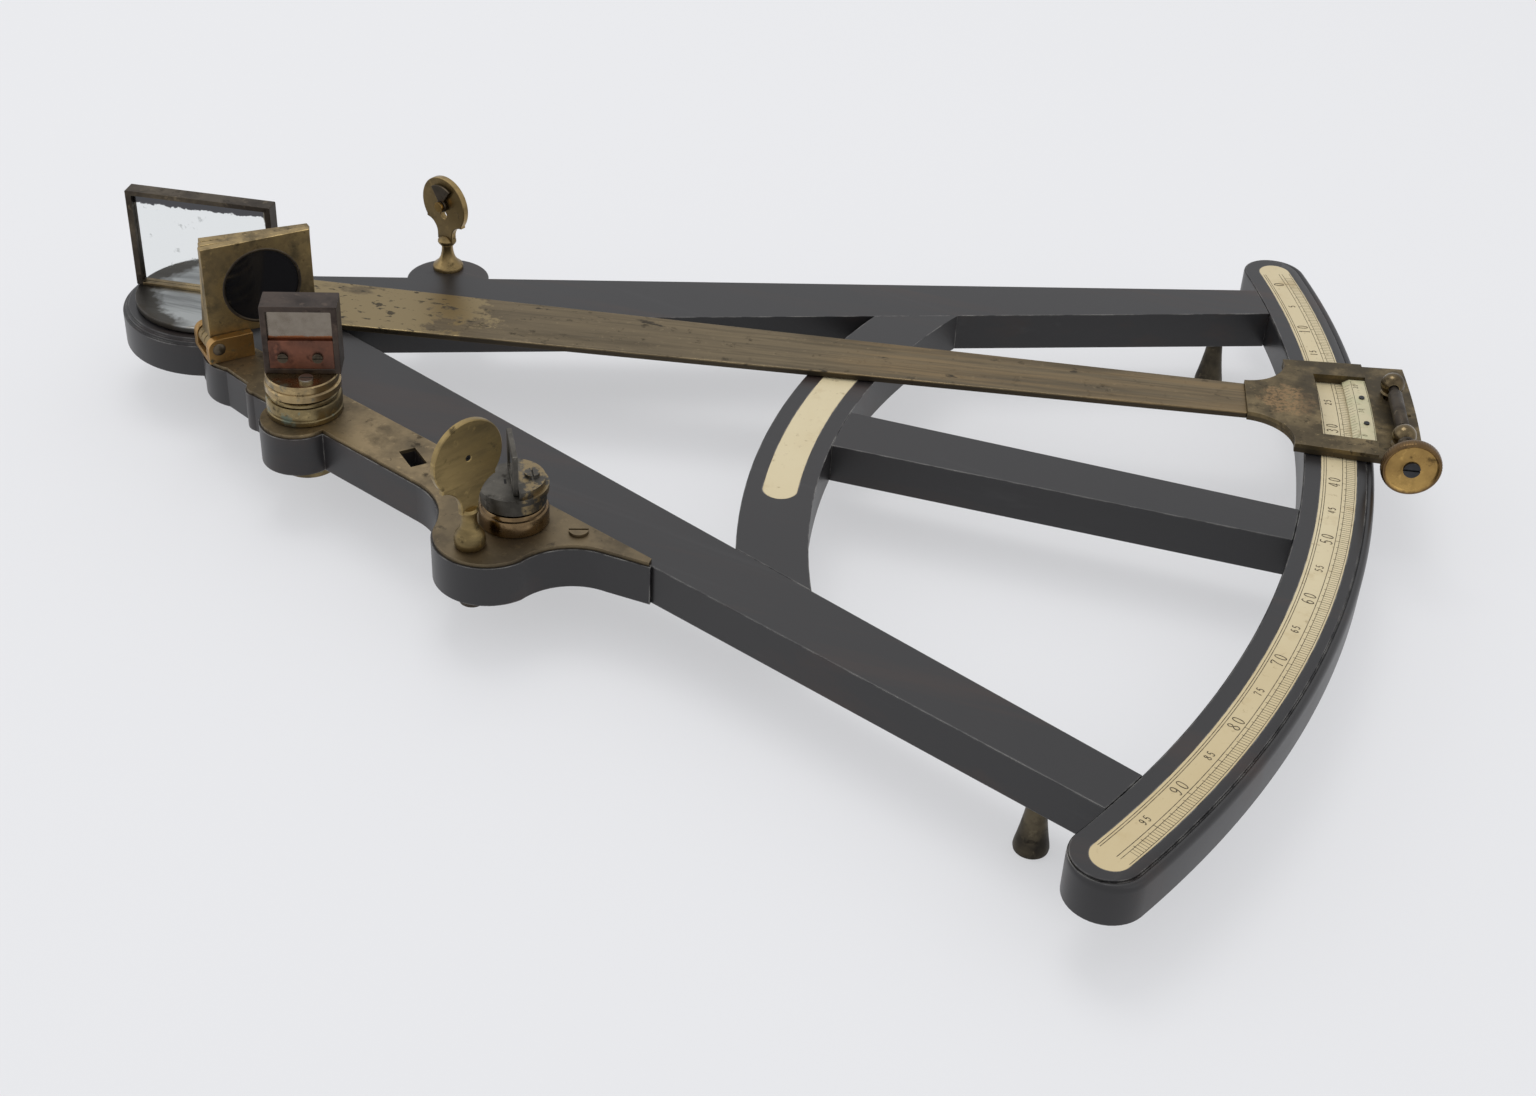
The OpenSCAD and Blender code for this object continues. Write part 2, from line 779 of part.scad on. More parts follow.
module back_drum() {
  drum(back_x, back_y, back_drum_r, drum_top);
}

// A sight's stud that passes down through the ebony.
module stud(z1) {
  translate([0, 0, foot_h - 6])
    cylinder(r = stud_r, h = z1 - foot_h + 6);
}

module sight_nut(x, y) {
  color(dark_brass)
    difference() {
      translate([x, y, foot_h - 4])
        cylinder(r = 4, h = 4);
      translate([x, y, foot_h - 4 - eps])
        cylinder(r = stud_r, h = far);
    }
}

// A flat sight vane in the XY plane: a disc on a neck with hollow shoulders.
module vane(r, z, t, neck_z, neck_hw, hollow_r) {
  hollow_x = neck_hw + hollow_r;
  hollow_z = neck_z + neck_hw / 2;
  shoulder_z = hollow_z + hollow_r + 1;
  shoulder_hw = sqrt(pow(r, 2) - pow(z - shoulder_z, 2));
  translate([0, z, -t / 2])
    cylinder(r = r, h = t);
  translate([0, 0, -t / 2])
    difference() {
      translate([-shoulder_hw, neck_z, 0])
        cube([2 * shoulder_hw, shoulder_z - neck_z, t]);
      for (side = [-1, 1])
        translate([side * hollow_x, hollow_z, -eps])
          cylinder(r = hollow_r, h = t + 2 * eps);
      for (side = [-1, 1])
        translate([side * hollow_x - hollow_r, neck_z - eps, -eps])
          cube([2 * hollow_r, hollow_z - neck_z + eps, t + 2 * eps]);
    }
}

module near_sight() {
  pinhole_r = 0.8;
  color(dark_brass)
    translate([near_x, near_y, 0]) {
      stud(plate_top + 1);
      intersection() {
        translate([0, 0, plate_top + near_ball_r * 0.6])
          sphere(r = near_ball_r);
        translate([-far / 2, -far / 2, plate_top])
          cube(far);
      }
      translate([0, 0, plate_top])
        cylinder(r = near_post_r, h = near_neck_z - plate_t + eps);
      translate([0, 0, deck])
        rotate([0, 0, near_dir])
          rotate([90, 0, 0])
            difference() {
              vane(near_disc_r, near_disc_z, near_disc_t, near_neck_z, near_neck_hw, near_hollow_r);
              translate([0, near_disc_z, -near_disc_t])
                cylinder(r = pinhole_r, h = 2 * near_disc_t);
            }
    }
}

module near_sight_nut() {
  sight_nut(near_x, near_y);
}

// Places children in the plane of the far sight, with Z out of its face toward the near limb.
module far_face() {
  translate([far_x, far_y, deck])
    rotate([0, 0, far_dir])
      rotate([90, 0, 0])
        children();
}

module far_sight() {
  flange_r = 5.25;
  flange_h = 1.8;
  post_r = 2.6;
  neck_r2 = 1.95;
  bead_r = 3.2;
  hole_r = 1.4;
  pin_hole_r = 1;
  neck_z = far_bead_z + far_bead_h;
  color(dark_brass)
    difference() {
      union() {
        translate([far_x, far_y, 0]) {
          stud(deck);
          translate([0, 0, deck])
            cylinder(r = flange_r, h = flange_h);
          translate([0, 0, deck])
            cylinder(r = post_r, h = far_foot_h);
          translate([0, 0, deck])
            cylinder(r = neck_r2, h = neck_z + eps);
          translate([0, 0, deck + far_bead_z])
            cylinder(r = bead_r, h = far_bead_h);
        }
        far_face()
          vane(far_disc_r, far_disc_z, far_disc_t, neck_z, far_neck_hw, far_hollow_r);
      }
      far_face() {
        translate([0, far_hole_z, -far_disc_t])
          cylinder(r = hole_r, h = 2 * far_disc_t);
        translate([0, far_disc_z, -far_disc_t])
          cylinder(r = pin_hole_r, h = 2 * far_disc_t);
      }
    }
}

module far_sight_nut() {
  sight_nut(far_x, far_y);
}

module shutter_pin() {
  color(brass)
    far_face()
      translate([0, far_disc_z, -far_disc_t / 2]) {
        cylinder(r = 1, h = far_disc_t + run + 1.6);
        translate([0, 0, far_disc_t + 2 * run + 1])
          cylinder(r = 1.8, h = 0.8);
      }
}

module far_shutter() {
  lobe = 2.2;
  color(steel)
    far_face()
      translate([0, far_disc_z, far_disc_t / 2 + run])
        difference() {
          union() {
            rotate([0, 0, 90 - shutter_half])
              rotate_extrude(angle = 2 * shutter_half)
                square([shutter_r, 1]);
            cylinder(r = lobe, h = 1);
          }
          translate([0, 0, -eps])
            cylinder(r = 1 + slip, h = 1 + 2 * eps);
        }
}

module index_arm() {
  color(dark_brass)
    rotate([0, 0, arm_rest])
      translate([0, 0, arm_z])
        difference() {
          union() {
            cylinder(r = arm_head_r, h = arm_t);
            linear_extrude(arm_t)
              polygon([[0, -arm_hw0], [0, arm_hw0], [neck_r, arm_hw1], [neck_r, -arm_hw1]]);
          }
          translate([0, 0, -eps])
            cylinder(r = shaft_r, h = arm_t + 2 * eps);
        }
}

module end_slot() {
  translate([tan_r, far_ball_off, arm_z - eps]) {
      translate([-slot_w / 2, -slot_half, 0])
        cube([slot_w, 2 * slot_half, arm_t + 2 * eps]);
      for (side = [-1, 1])
        translate([0, side * slot_half, 0])
          cylinder(r = slot_w / 2, h = arm_t + 2 * eps);
    }
}

module arm_end_frame() {
  side_r = arm_hw1 + 0.7 + shoulder_r;
  color(dark_brass)
    rotate([0, 0, arm_rest])
      difference() {
        union() {
          sector(end_in_r, vernier_out_r, end_half, arm_z, end_t);
          sector(end_in_r, end_out_r, end_half, arm_z, arm_t);
          translate([0, 0, arm_z])
            difference() {
              linear_extrude(end_t)
                polygon([[neck_r, -side_r], [neck_r, side_r], [end_in_r, side_r],
                  [end_in_r + eps, 0], [end_in_r, -side_r]]);
              for (side = [-1, 1])
                translate([neck_r - 0.7, side * side_r, -eps])
                  cylinder(r = shoulder_r, h = end_t + 2 * eps);
            }
        }
        sector(window_r, vernier_out_r, window_half, arm_z - eps, end_t + 2 * eps);
        end_slot();
        translate([tan_r + 4.2, -0.5, arm_z - eps])
          cylinder(r = 1.1, h = arm_t + 2 * eps);
      }
}

module vernier() {
  bevel = 2;
  lip = 0.5;
  color(ivory)
    rotate([0, 0, arm_rest - window_half])
      rotate_extrude(angle = 2 * window_half)
        polygon([[vernier_r, arm_z], [vernier_out_r, arm_z], [vernier_out_r, arm_z + vernier_t],
          [vernier_r + bevel, arm_z + vernier_t], [vernier_r, arm_z + lip]]);
}

module vernier_pins() {
  color(steel)
    for (side = [-1, 1])
      rotate([0, 0, arm_rest + side * vernier_pin_deg])
        translate([(vernier_r + vernier_out_r) / 2 + 1, 0, arm_z + vernier_t])
          cylinder(r = vernier_pin_r, h = 0.5);
}

// A bored ball on a short stem, along the tangent screw's axis.
module bored_ball(off, z0, clearance) {
  difference() {
    union() {
      translate([tan_r, off, deck + tan_z])
        sphere(r = ball_r);
      translate([tan_r, off, z0])
        cylinder(r = rod_r, h = deck + tan_z - z0);
    }
    translate([tan_r, off - 2 * ball_r, deck + tan_z])
      rotate([-90, 0, 0])
        cylinder(r = rod_r + clearance, h = 4 * ball_r);
  }
}

module screw_bearing() {
  flange_r = 3.5;
  flange_h = 1.2;
  color(brass)
    rotate([0, 0, arm_rest]) {
      bored_ball(-near_ball_off, end_bar_top, fit);
      translate([tan_r, -near_ball_off, end_bar_top])
        cylinder(r = flange_r, h = flange_h);
    }
}

module pivot_shaft() {
  color(steel)
    translate([0, 0, foot_h - 9])
      cylinder(r = shaft_r, h = arm_top - foot_h + 9);
}

module pivot_washer() {
  color(brass)
    difference() {
      translate([0, 0, foot_h - run - 1.2])
        cylinder(r = pivot_washer_r, h = 1.2);
      cylinder(r = shaft_r, h = far);
    }
}

module pivot_nut() {
  nut_h = 5.5;
  color(brass)
    difference() {
      translate([0, 0, foot_h - run - 1.2 - nut_h])
        cylinder(r = pivot_nut_r, h = nut_h, $fn = 6);
      cylinder(r = shaft_r, h = far);
    }
}

module index_frame() {
  color(dark_brass)
    rotate([0, 0, mirror_dir])
      difference() {
        translate([-mirror_s0, -mirror_depth / 2, arm_top])
          cube([mirror_s0 + mirror_s1, mirror_depth, deck + mirror_top - arm_top]);
        translate([-mirror_s0 + mirror_post, -mirror_depth, arm_top + 1])
          cube([mirror_s0 + mirror_s1 - 2 * mirror_post, 2 * mirror_depth,
            deck + mirror_top - mirror_bar - arm_top - 1]);
      }
}

module index_pane(y0, t) {
  rotate([0, 0, mirror_dir])
    translate([-mirror_s0 + mirror_post, y0, arm_top + 1])
      cube([mirror_s0 + mirror_s1 - 2 * mirror_post, t, deck + mirror_top - mirror_bar - arm_top - 1]);
}

module index_glass() {
  color(glass)
    index_pane(-glass_t / 2, glass_t);
}

module index_back() {
  color(dark_brass)
    index_pane(glass_t / 2, back_t);
}

module index_bracket() {
  rib_h = 16;
  rib_t = 2.5;
  foot_t = 2;
  color(brass)
    rotate([0, 0, mirror_dir])
      translate([0, mirror_depth / 2, arm_top]) {
        translate([-bracket_hw, 0, 0])
          cube([2 * bracket_hw, bracket_len, foot_t]);
        translate([rib_t / 2, 0, 0])
          rotate([90, 0, -90])
            linear_extrude(rib_t)
              polygon([[0, 0], [-bracket_len, 0], [-bracket_len, foot_t], [0, rib_h]]);
        translate([-bracket_hw, -mirror_depth / 2 + glass_t / 2 + back_t, 1])
          cube([2 * bracket_hw, mirror_depth / 2 - glass_t / 2 - back_t, rib_h - 1]);
      }
}

module index_screws() {
  screw_r = 2;
  color(steel)
    rotate([0, 0, mirror_dir])
      for (side = [-1, 1])
        translate([side * bracket_hw / 2, mirror_depth / 2 + bracket_len * 0.6, arm_top + 2])
          slotted(screw_r, 1.2);
}

module tangent_rod() {
  collar_r = 3;
  collar_t = 1.6;
  color(dark_brass)
    rotate([0, 0, arm_rest])
      translate([tan_r, 0, deck + tan_z])
        rotate([90, 0, 0]) {
          translate([0, 0, -far_ball_off - ball_r - 2])
            cylinder(r = rod_r, h = far_ball_off + ball_r + 2 + knob_off);
          translate([0, 0, near_ball_off - ball_r - run - collar_t])
            cylinder(r = collar_r, h = collar_t);
          translate([0, 0, near_ball_off + ball_r + run])
            cylinder(r = collar_r, h = collar_t);
        }
}

module tangent_knob() {
  rim = 1.2;
  dish = 0.6;
  color(brass)
    rotate([0, 0, arm_rest])
      translate([tan_r, -knob_off, deck + tan_z])
        rotate([90, 0, 0])
          difference() {
            cylinder(r = knob_r, h = knob_t);
            translate([0, 0, knob_t - dish])
              cylinder(r = knob_r - rim, h = knob_t);
          }
}

module knob_screw() {
  color(steel)
    rotate([0, 0, arm_rest])
      translate([tan_r, -knob_off - knob_t + 0.6, deck + tan_z])
        rotate([90, 0, 0])
          slotted(knob_screw_r, 1);
}

module clamp_shoe() {
  color(dark_brass)
    rotate([0, 0, arm_rest + clamp_turn])
      difference() {
        union() {
          sector(clamp_in_r, clamp_out_r, clamp_half, clamp_z, clamp_t);
          sector(arc_out_r + wall_gap, arc_out_r + wall_gap + wall_t, clamp_half, clamp_z, deck - clamp_z - run);
        }
        translate([arc_mid_r, 0, clamp_z - eps])
          cylinder(r = clamp_screw_r + fit, h = far);
      }
}

module clamp_post() {
  color(brass)
    rotate([0, 0, arm_rest])
      bored_ball(far_ball_off, clamp_top, creep_play);
}

module clamp_screw() {
  color(brass)
    rotate([0, 0, arm_rest + clamp_turn])
      translate([arc_mid_r, 0, clamp_z - 2 - clamp_head_h]) {
        cylinder(r = clamp_head_r, h = clamp_head_h);
        cylinder(r = clamp_screw_r, h = foot_h - run - clamp_z + 2 + clamp_head_h);
        cylinder(r = clamp_screw_r + 1.5, h = clamp_head_h + 1.5);
      }
}

// Places children in the shades' front plane: X along it, Y up from the deck, Z out toward the near side.
module shade_face(n) {
  translate([shade_x, shade_y, deck])
    rotate([0, 0, shade_dir])
      rotate([90, 0, 0])
        translate([0, 0, n])
          children();
}

module shade_cheek(n, s1) {
  top_r = 3.4;
  shade_face(n)
    difference() {
      union() {
        translate([pin_s, pin_z, 0])
          cylinder(r = top_r, h = fork_t);
        translate([pin_s - top_r, plate_t, 0])
          cube([s1 - pin_s + top_r, pin_z - plate_t, fork_t]);
        translate([pin_s, plate_t, 0])
          cube([s1 - pin_s, pin_z + top_r - plate_t, fork_t]);
      }
      translate([pin_s, pin_z, -eps])
        cylinder(r = pin_r, h = fork_t + 2 * eps);
    }
}

module shade_bracket() {
  front_s1 = 5;
  back_s1 = -2.6;
  left_s = pin_s - 3.4;
  shank = shade_pt(shank_s, shank_n);
  color(brass) {
    shade_cheek(fork_front, front_s1);
    shade_cheek(fork_back - fork_t, back_s1);
    shade_face(fork_back - fork_t)
      translate([left_s, plate_t, 0])
        cube([back_s1 - left_s, base_t, shade_stack + 2 * run + 2 * fork_t]);
    socket_block(shank[0], shank[1], socket_w - 2 * slip, socket_len - 2 * slip,
                 plate_top - shank_h, shank_h);
  }
}

module shade_pin() {
  color(steel)
    shade_face(fork_back - fork_t)
      translate([pin_s, pin_z, 0])
        cylinder(r = pin_r, h = shade_stack + 2 * run + 2 * fork_t + 0.5);
}

// Places children in the plane of one shade, turned about the pin by its lean.
module leaning(k, n) {
  shade_face(n)
    translate([pin_s, pin_z, 0])
      rotate([0, 0, -k * shade_lean])
        translate([-pin_s, -pin_z, 0])
          children();
}

module shade(k) {
  color(brass)
    leaning(k, -k * shade_pitch - shade_t)
      difference() {
        union() {
          translate([-shade_s0, shade_z0, 0])
            cube([shade_s0 + shade_s1, shade_z1 - shade_z0, shade_t]);
          translate([pin_s, pin_z, 0])
            cylinder(r = lug_r, h = shade_t);
          translate([-shade_s0, pin_z, 0])
            cube([2 * (pin_s + shade_s0), shade_z0 - pin_z + eps, shade_t]);
        }
        translate([pin_s, pin_z, -eps])
          cylinder(r = pin_r + slip, h = shade_t + 2 * eps);
        translate([(shade_s1 - shade_s0) / 2 + 0.8, shade_glass_z, -eps])
          cylinder(r = shade_glass_r, h = shade_t + 2 * eps);
      }
}

module shade_disc(k) {
  color(amber)
    leaning(k, -k * shade_pitch - (shade_t + shade_glass_t) / 2)
      translate([(shade_s1 - shade_s0) / 2 + 0.8, shade_glass_z, 0])
        cylinder(r = shade_glass_r, h = shade_glass_t);
}

module shade_front() {
  shade(0);
}

module shade_middle() {
  shade(1);
}

module shade_back() {
  shade(2);
}

module front_glass() {
  shade_disc(0);
}

module middle_glass() {
  shade_disc(1);
}

module back_shade_glass() {
  shade_disc(2);
}

// The shaft and collar of a horizon stand, from the nut up to the table above its drum.
module stand_shaft(z0, top) {
  collar_r = 6;
  collar_h = 1;
  translate([0, 0, z0])
    cylinder(r = stand_shaft_r, h = deck + top + collar_h - z0);
  translate([0, 0, deck + top])
    cylinder(r = collar_r, h = collar_h);
}

module stand_nut(x, y, r, h) {
  color(brass)
    difference() {
      translate([x, y, foot_h - run - h])
        cylinder(r = r, h = h);
      translate([x, y, foot_h - run - h - eps])
        cylinder(r = stand_shaft_r, h = h + 2 * eps);
    }
}

module fore_local() {
  translate([fore_x, fore_y, 0])
    rotate([0, 0, fore_dir])
      children();
}

module fore_table() {
  disc_h = fore_table_h / 2;
  step = 0.5;
  color(brass)
    translate([fore_x, fore_y, 0]) {
      stand_shaft(foot_h - 6, fore_drum_top);
      translate([0, 0, fore_table_z])
        cylinder(r = fore_table_r, h = disc_h);
      translate([0, 0, fore_table_z + disc_h])
        cylinder(r = fore_table_r - step, h = fore_table_h - disc_h);
    }
}

module fore_nut() {
  stand_nut(fore_x, fore_y, fore_nut_r, 5.4);
}

fore_z0 = fore_table_z + fore_table_h;
fore_h = deck + fore_top - fore_z0;
fore_len = fore_s0 + fore_s1;

module fore_frame() {
  color(dark_brass)
    fore_local()
      difference() {
        translate([-fore_s0, -fore_lead, fore_z0])
          cube([fore_len, fore_depth, fore_h]);
        translate([-fore_s0 + stand_wall, -fore_lead - eps, fore_z0 + stand_wall])
          cube([fore_len - 2 * stand_wall, fore_depth + 2 * eps, fore_h - 2 * stand_wall]);
      }
}

module fore_glass() {
  color(glass)
    fore_local()
      translate([-fore_s0 + stand_wall, back_t - fore_lead, fore_z0 + stand_wall])
        cube([fore_len - 2 * stand_wall, glass_t, fore_h - 2 * stand_wall]);
}

module fore_plate() {
  color([0.35, 0.16, 0.1])
    fore_local()
      translate([-fore_s0 + stand_wall, -fore_lead, fore_z0 + stand_wall])
        cube([fore_len - 2 * stand_wall, back_t, fore_h / 2 - stand_wall]);
}

module fore_screws() {
  plate_r = 1.6;
  table_r = 2.2;
  spread = fore_len / 4.4;
  plate_s = (fore_s1 - fore_s0) / 5;
  plate_z = fore_z0 + fore_h / 4;
  color(steel)
    fore_local() {
      for (side = [-1, 1])
        translate([plate_s + side * spread, -fore_lead, plate_z])
          rotate([90, 0, 0])
            slotted(plate_r, 0.8);
      translate([2, -fore_lead - table_r - 1.5, fore_z0])
        slotted(table_r, 1);
    }
}

module back_local() {
  translate([back_x, back_y, 0])
    rotate([0, 0, back_dir])
      children();
}

back_z0 = table_z + 5.5;

module back_table() {
  half_r = back_top_r - 1;
  color(brass) {
    translate([back_x, back_y, 0]) {
      stand_shaft(foot_h - 6, drum_top);
      translate([0, 0, table_z])
        cylinder(r = back_table_r, h = 3.5);
      translate([0, 0, table_z + 3.5])
        cylinder(r = back_top_r, h = 2);
    }
    back_local()
      intersection() {
        translate([0, 0, back_z0 - 1])
          cylinder(r = half_r, h = 3);
        translate([-half_r, -half_r - back_depth / 2, back_z0 - 1])
          cube([2 * half_r, half_r, 3]);
      }
    back_local()
      translate([0, -half_r / 2 - back_depth / 2, back_z0 + 1])
        slotted(2.2, 2);
  }
}

module back_nut() {
  stand_nut(back_x, back_y, 6, 4.5);
}

back_h = deck + back_top - back_z0;
back_len = back_s0 + back_s1;

module back_frame() {
  color(dark_brass)
    back_local()
      difference() {
        translate([-back_s0, -back_depth / 2, back_z0])
          cube([back_len, back_depth, back_h]);
        translate([-back_s0 + stand_wall, -back_depth, back_z0 + stand_wall])
          cube([back_len - 2 * stand_wall, 2 * back_depth, back_h - 2 * stand_wall]);
      }
}

module back_glass() {
  color(glass)
    back_local()
      translate([-back_s0 + stand_wall, -back_glass_t / 2, back_z0 + stand_wall])
        cube([back_len - 2 * stand_wall, back_glass_t, back_h - 2 * stand_wall]);
}

apex_block();
far_limb();
near_limb();
arc_limb();
brace();
centre_strut();
near_cheek();
ivory_scale();
brace_plaque();
mirror_plate();
plate_screw();
pivot_bush();
apex_foot();
far_foot();
near_foot();
fore_drum();
back_drum();
near_sight();
near_sight_nut();
far_sight();
far_sight_nut();
shutter_pin();
far_shutter();
index_arm();
arm_end_frame();
vernier();
vernier_pins();
screw_bearing();
pivot_shaft();
pivot_washer();
pivot_nut();
index_frame();
index_glass();
index_back();
index_bracket();
index_screws();
tangent_rod();
tangent_knob();
knob_screw();
clamp_shoe();
clamp_post();
clamp_screw();
shade_bracket();
shade_pin();
shade_front();
shade_middle();
shade_back();
front_glass();
middle_glass();
back_shade_glass();
fore_table();
fore_nut();
fore_frame();
fore_glass();
fore_plate();
fore_screws();
back_table();
back_nut();
back_frame();
back_glass();
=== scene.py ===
# %% [markdown]
# # An octant
# An octant measures the angle between two things that are seen at once, such as the sun and the horizon.
# The solids of the frame are loaded first, so each piece made here goes exactly where its solid is.
# Blender's lengths are in metres, with the arm's pivot at the origin, X toward the arc and Z up. Pieces are written
# in millimetres, as on a maker's drawing, and scaled when their mesh is made.

# %% Load the solids
import bpy, bmesh, math
from mathutils import Matrix, Vector


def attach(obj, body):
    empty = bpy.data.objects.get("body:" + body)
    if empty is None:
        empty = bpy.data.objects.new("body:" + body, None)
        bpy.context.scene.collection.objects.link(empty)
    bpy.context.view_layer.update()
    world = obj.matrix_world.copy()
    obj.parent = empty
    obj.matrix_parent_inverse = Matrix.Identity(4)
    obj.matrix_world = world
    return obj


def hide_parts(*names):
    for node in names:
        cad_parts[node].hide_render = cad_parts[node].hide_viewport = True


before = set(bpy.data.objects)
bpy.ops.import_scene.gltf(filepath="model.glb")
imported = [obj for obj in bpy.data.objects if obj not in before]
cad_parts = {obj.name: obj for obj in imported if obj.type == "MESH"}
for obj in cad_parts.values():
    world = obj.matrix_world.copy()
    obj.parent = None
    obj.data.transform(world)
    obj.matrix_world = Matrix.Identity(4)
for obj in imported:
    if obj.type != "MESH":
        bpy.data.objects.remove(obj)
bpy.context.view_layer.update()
scene = bpy.context.scene
scene.view_settings.view_transform = "Standard"
MM = 0.001
DECK = 31.5  # height of the frame's top face
ARM_DIR = math.radians(10.75)  # the arm's direction from X

# %% [markdown]
# ## The camera
# A photograph is matched by giving the camera the place and the three directions that it had: right, up and back.
# Setting the matrix directly keeps the small roll, which a track-to constraint would lose.

# %% Camera
SENSOR, FOCAL_PIXELS, WIDTH_PIXELS = 36, 2115, 1536
camera_data = bpy.data.cameras.new("view_camera")
camera_data.sensor_fit = "HORIZONTAL"
camera_data.sensor_width = SENSOR
camera_data.lens = SENSOR * FOCAL_PIXELS / WIDTH_PIXELS
camera_data.clip_start = 0.01
camera = bpy.data.objects.new("view_camera", camera_data)
scene.collection.objects.link(camera)
right, up, back = (0.9497, 0.3098, 0.0462), (-0.2148, 0.5367, 0.8160), (0.2280, -0.7849, 0.5763)
place = (0.35767, -0.54772, 0.38201)
camera.matrix_world = Matrix([[right[i], up[i], back[i], place[i]] for i in range(3)] + [[0, 0, 0, 1]])
scene.camera = camera
print("camera at", place)

# %% [markdown]
# ## Floor and light
# The object stands on a pale sheet that runs back out of sight. A sheet that only takes the lamps would turn grey,
# so rays from the camera, and rays that come by way of metal or glass, see it partly glowing with its own colour.
# The rest of it takes the light, which keeps the object's soft shadow. Large lamps stand above and to the sides.

# %% Floor and backdrop
def new_material(name):
    """An empty node material."""
    made = bpy.data.materials.new(name)
    made.use_nodes = True
    made.node_tree.nodes.clear()
    return made

def node(tree, kind, **values):
    """One node, right of the last; keys that name an input, with _ for a space, set its value."""
    made = tree.nodes.new(kind)
    made.location = (200 * len(tree.nodes), 0)
    for key, value in values.items():
        if hasattr(made, key):
            setattr(made, key, value)
        else:
            made.inputs[key.replace("_", " ")].default_value = value
    return made

def wire(tree, *links):
    """Joins nodes; each link says from which node and output, to which node and input."""
    for start, given, end, taken in links:
        tree.links.new(start.outputs[given], end.inputs[taken])

def seen_rays(tree):
    """A node that is 1 for rays from the camera and those that metal or glass sends on, 0 for rays that carry light."""
    rays = node(tree, "ShaderNodeLightPath")
    either = node(tree, "ShaderNodeMath", operation="MAXIMUM")
    any_of = node(tree, "ShaderNodeMath", operation="MAXIMUM")
    wire(tree, (rays, "Is Camera Ray", either, 0), (rays, "Is Glossy Ray", either, 1),
        (either, 0, any_of, 0), (rays, "Is Transmission Ray", any_of, 1))
    return any_of

FLOOR_HALF, GLOW_SHARE = 12, 0.56
mesh = bpy.data.meshes.new("floor")
corners = [(x * FLOOR_HALF, y * FLOOR_HALF, 0) for x, y in ((-1, -1), (1, -1), (1, 1), (-1, 1))]
mesh.from_pydata(corners, [], [(0, 1, 2, 3)])
floor = bpy.data.objects.new("floor", mesh)
scene.collection.objects.link(floor)
paper = new_material("paper")
tree = paper.node_tree
matt = node(tree, "ShaderNodeBsdfPrincipled", Base_Color=(0.73, 0.735, 0.755, 1), Roughness=0.9, Specular_IOR_Level=0.1)
glow = node(tree, "ShaderNodeEmission", Color=(0.98, 0.983, 1.0, 1), Strength=0.87)
share = node(tree, "ShaderNodeMath", operation="MULTIPLY")
share.inputs[1].default_value = GLOW_SHARE
mix = node(tree, "ShaderNodeMixShader")
output = node(tree, "ShaderNodeOutputMaterial")
wire(tree, (seen_rays(tree), 0, share, 0), (share, 0, mix, 0), (matt, 0, mix, 1), (glow, 0, mix, 2),
    (mix, 0, output, 0))
floor.data.materials.append(paper)

world = bpy.data.worlds.new("studio")
scene.world = world
world.use_nodes = True
tree = world.node_tree
tree.nodes.clear()
light = node(tree, "ShaderNodeBackground", Color=(0.96, 0.97, 1.0, 1), Strength=0.8)
seen = node(tree, "ShaderNodeBackground", Color=(0.775, 0.78, 0.8, 1), Strength=1.0)
mix = node(tree, "ShaderNodeMixShader")
output = node(tree, "ShaderNodeOutputWorld")
wire(tree, (seen_rays(tree), 0, mix, 0), (light, 0, mix, 1), (seen, 0, mix, 2), (mix, 0, output, 0))
print("floor and world made")

# %% Lamps
def lamp(name, place, aim, size, power, colour):
    """A square soft lamp that faces a point."""
    data = bpy.data.lights.new(name, "AREA")
    data.size, data.energy, data.color = size, power, colour
    made = bpy.data.objects.new(name, data)
    made.location = place
    made.rotation_euler = (Vector(aim) - Vector(place)).to_track_quat("-Z", "Y").to_euler()
    scene.collection.objects.link(made)

lamp("top_lamp", (-0.1, 0.35, 1.6), (0.2, 0, 0), 0.8, 7, (1.0, 0.99, 0.97))
lamp("left_lamp", (-1.4, -0.5, 1.0), (0.2, 0, 0.03), 1.3, 3.4, (0.97, 0.98, 1.0))
lamp("right_lamp", (1.6, -0.4, 1.0), (0.2, 0, 0.03), 1.3, 2, (0.98, 0.99, 1.0))
print("lamps made")

# %% [markdown]
# ## Shared effects
# A few effects come back in most finishes: a blotchy change of tone, the pale rub along worn edges, which on the
# ebony is also a painted highlight, fine scratches, and a change that starts at a ragged line or round a ragged
# circle, such as silvering that has come away.
# Each is one shader group with named inputs, so that every material can place it with its own values.
# The edge mask compares the true normal with one rounded over a small radius, and only differs near an edge.

# %% Groups
def group(name, **inputs):
    """A shader group that puts out a mask; an input is a vector or a number, as its default is."""
    made = bpy.data.node_groups.new(name, "ShaderNodeTree")
    for title, default in inputs.items():
        kind = "NodeSocketVector" if isinstance(default, tuple) else "NodeSocketFloat"
        made.interface.new_socket(title, in_out="INPUT", socket_type=kind).default_value = default
    made.interface.new_socket("Mask", in_out="OUTPUT", socket_type="NodeSocketFloat")
    return [made] + [node(made, kind) for kind in ("NodeGroupInput", "NodeGroupOutput", "ShaderNodeTexCoord")]

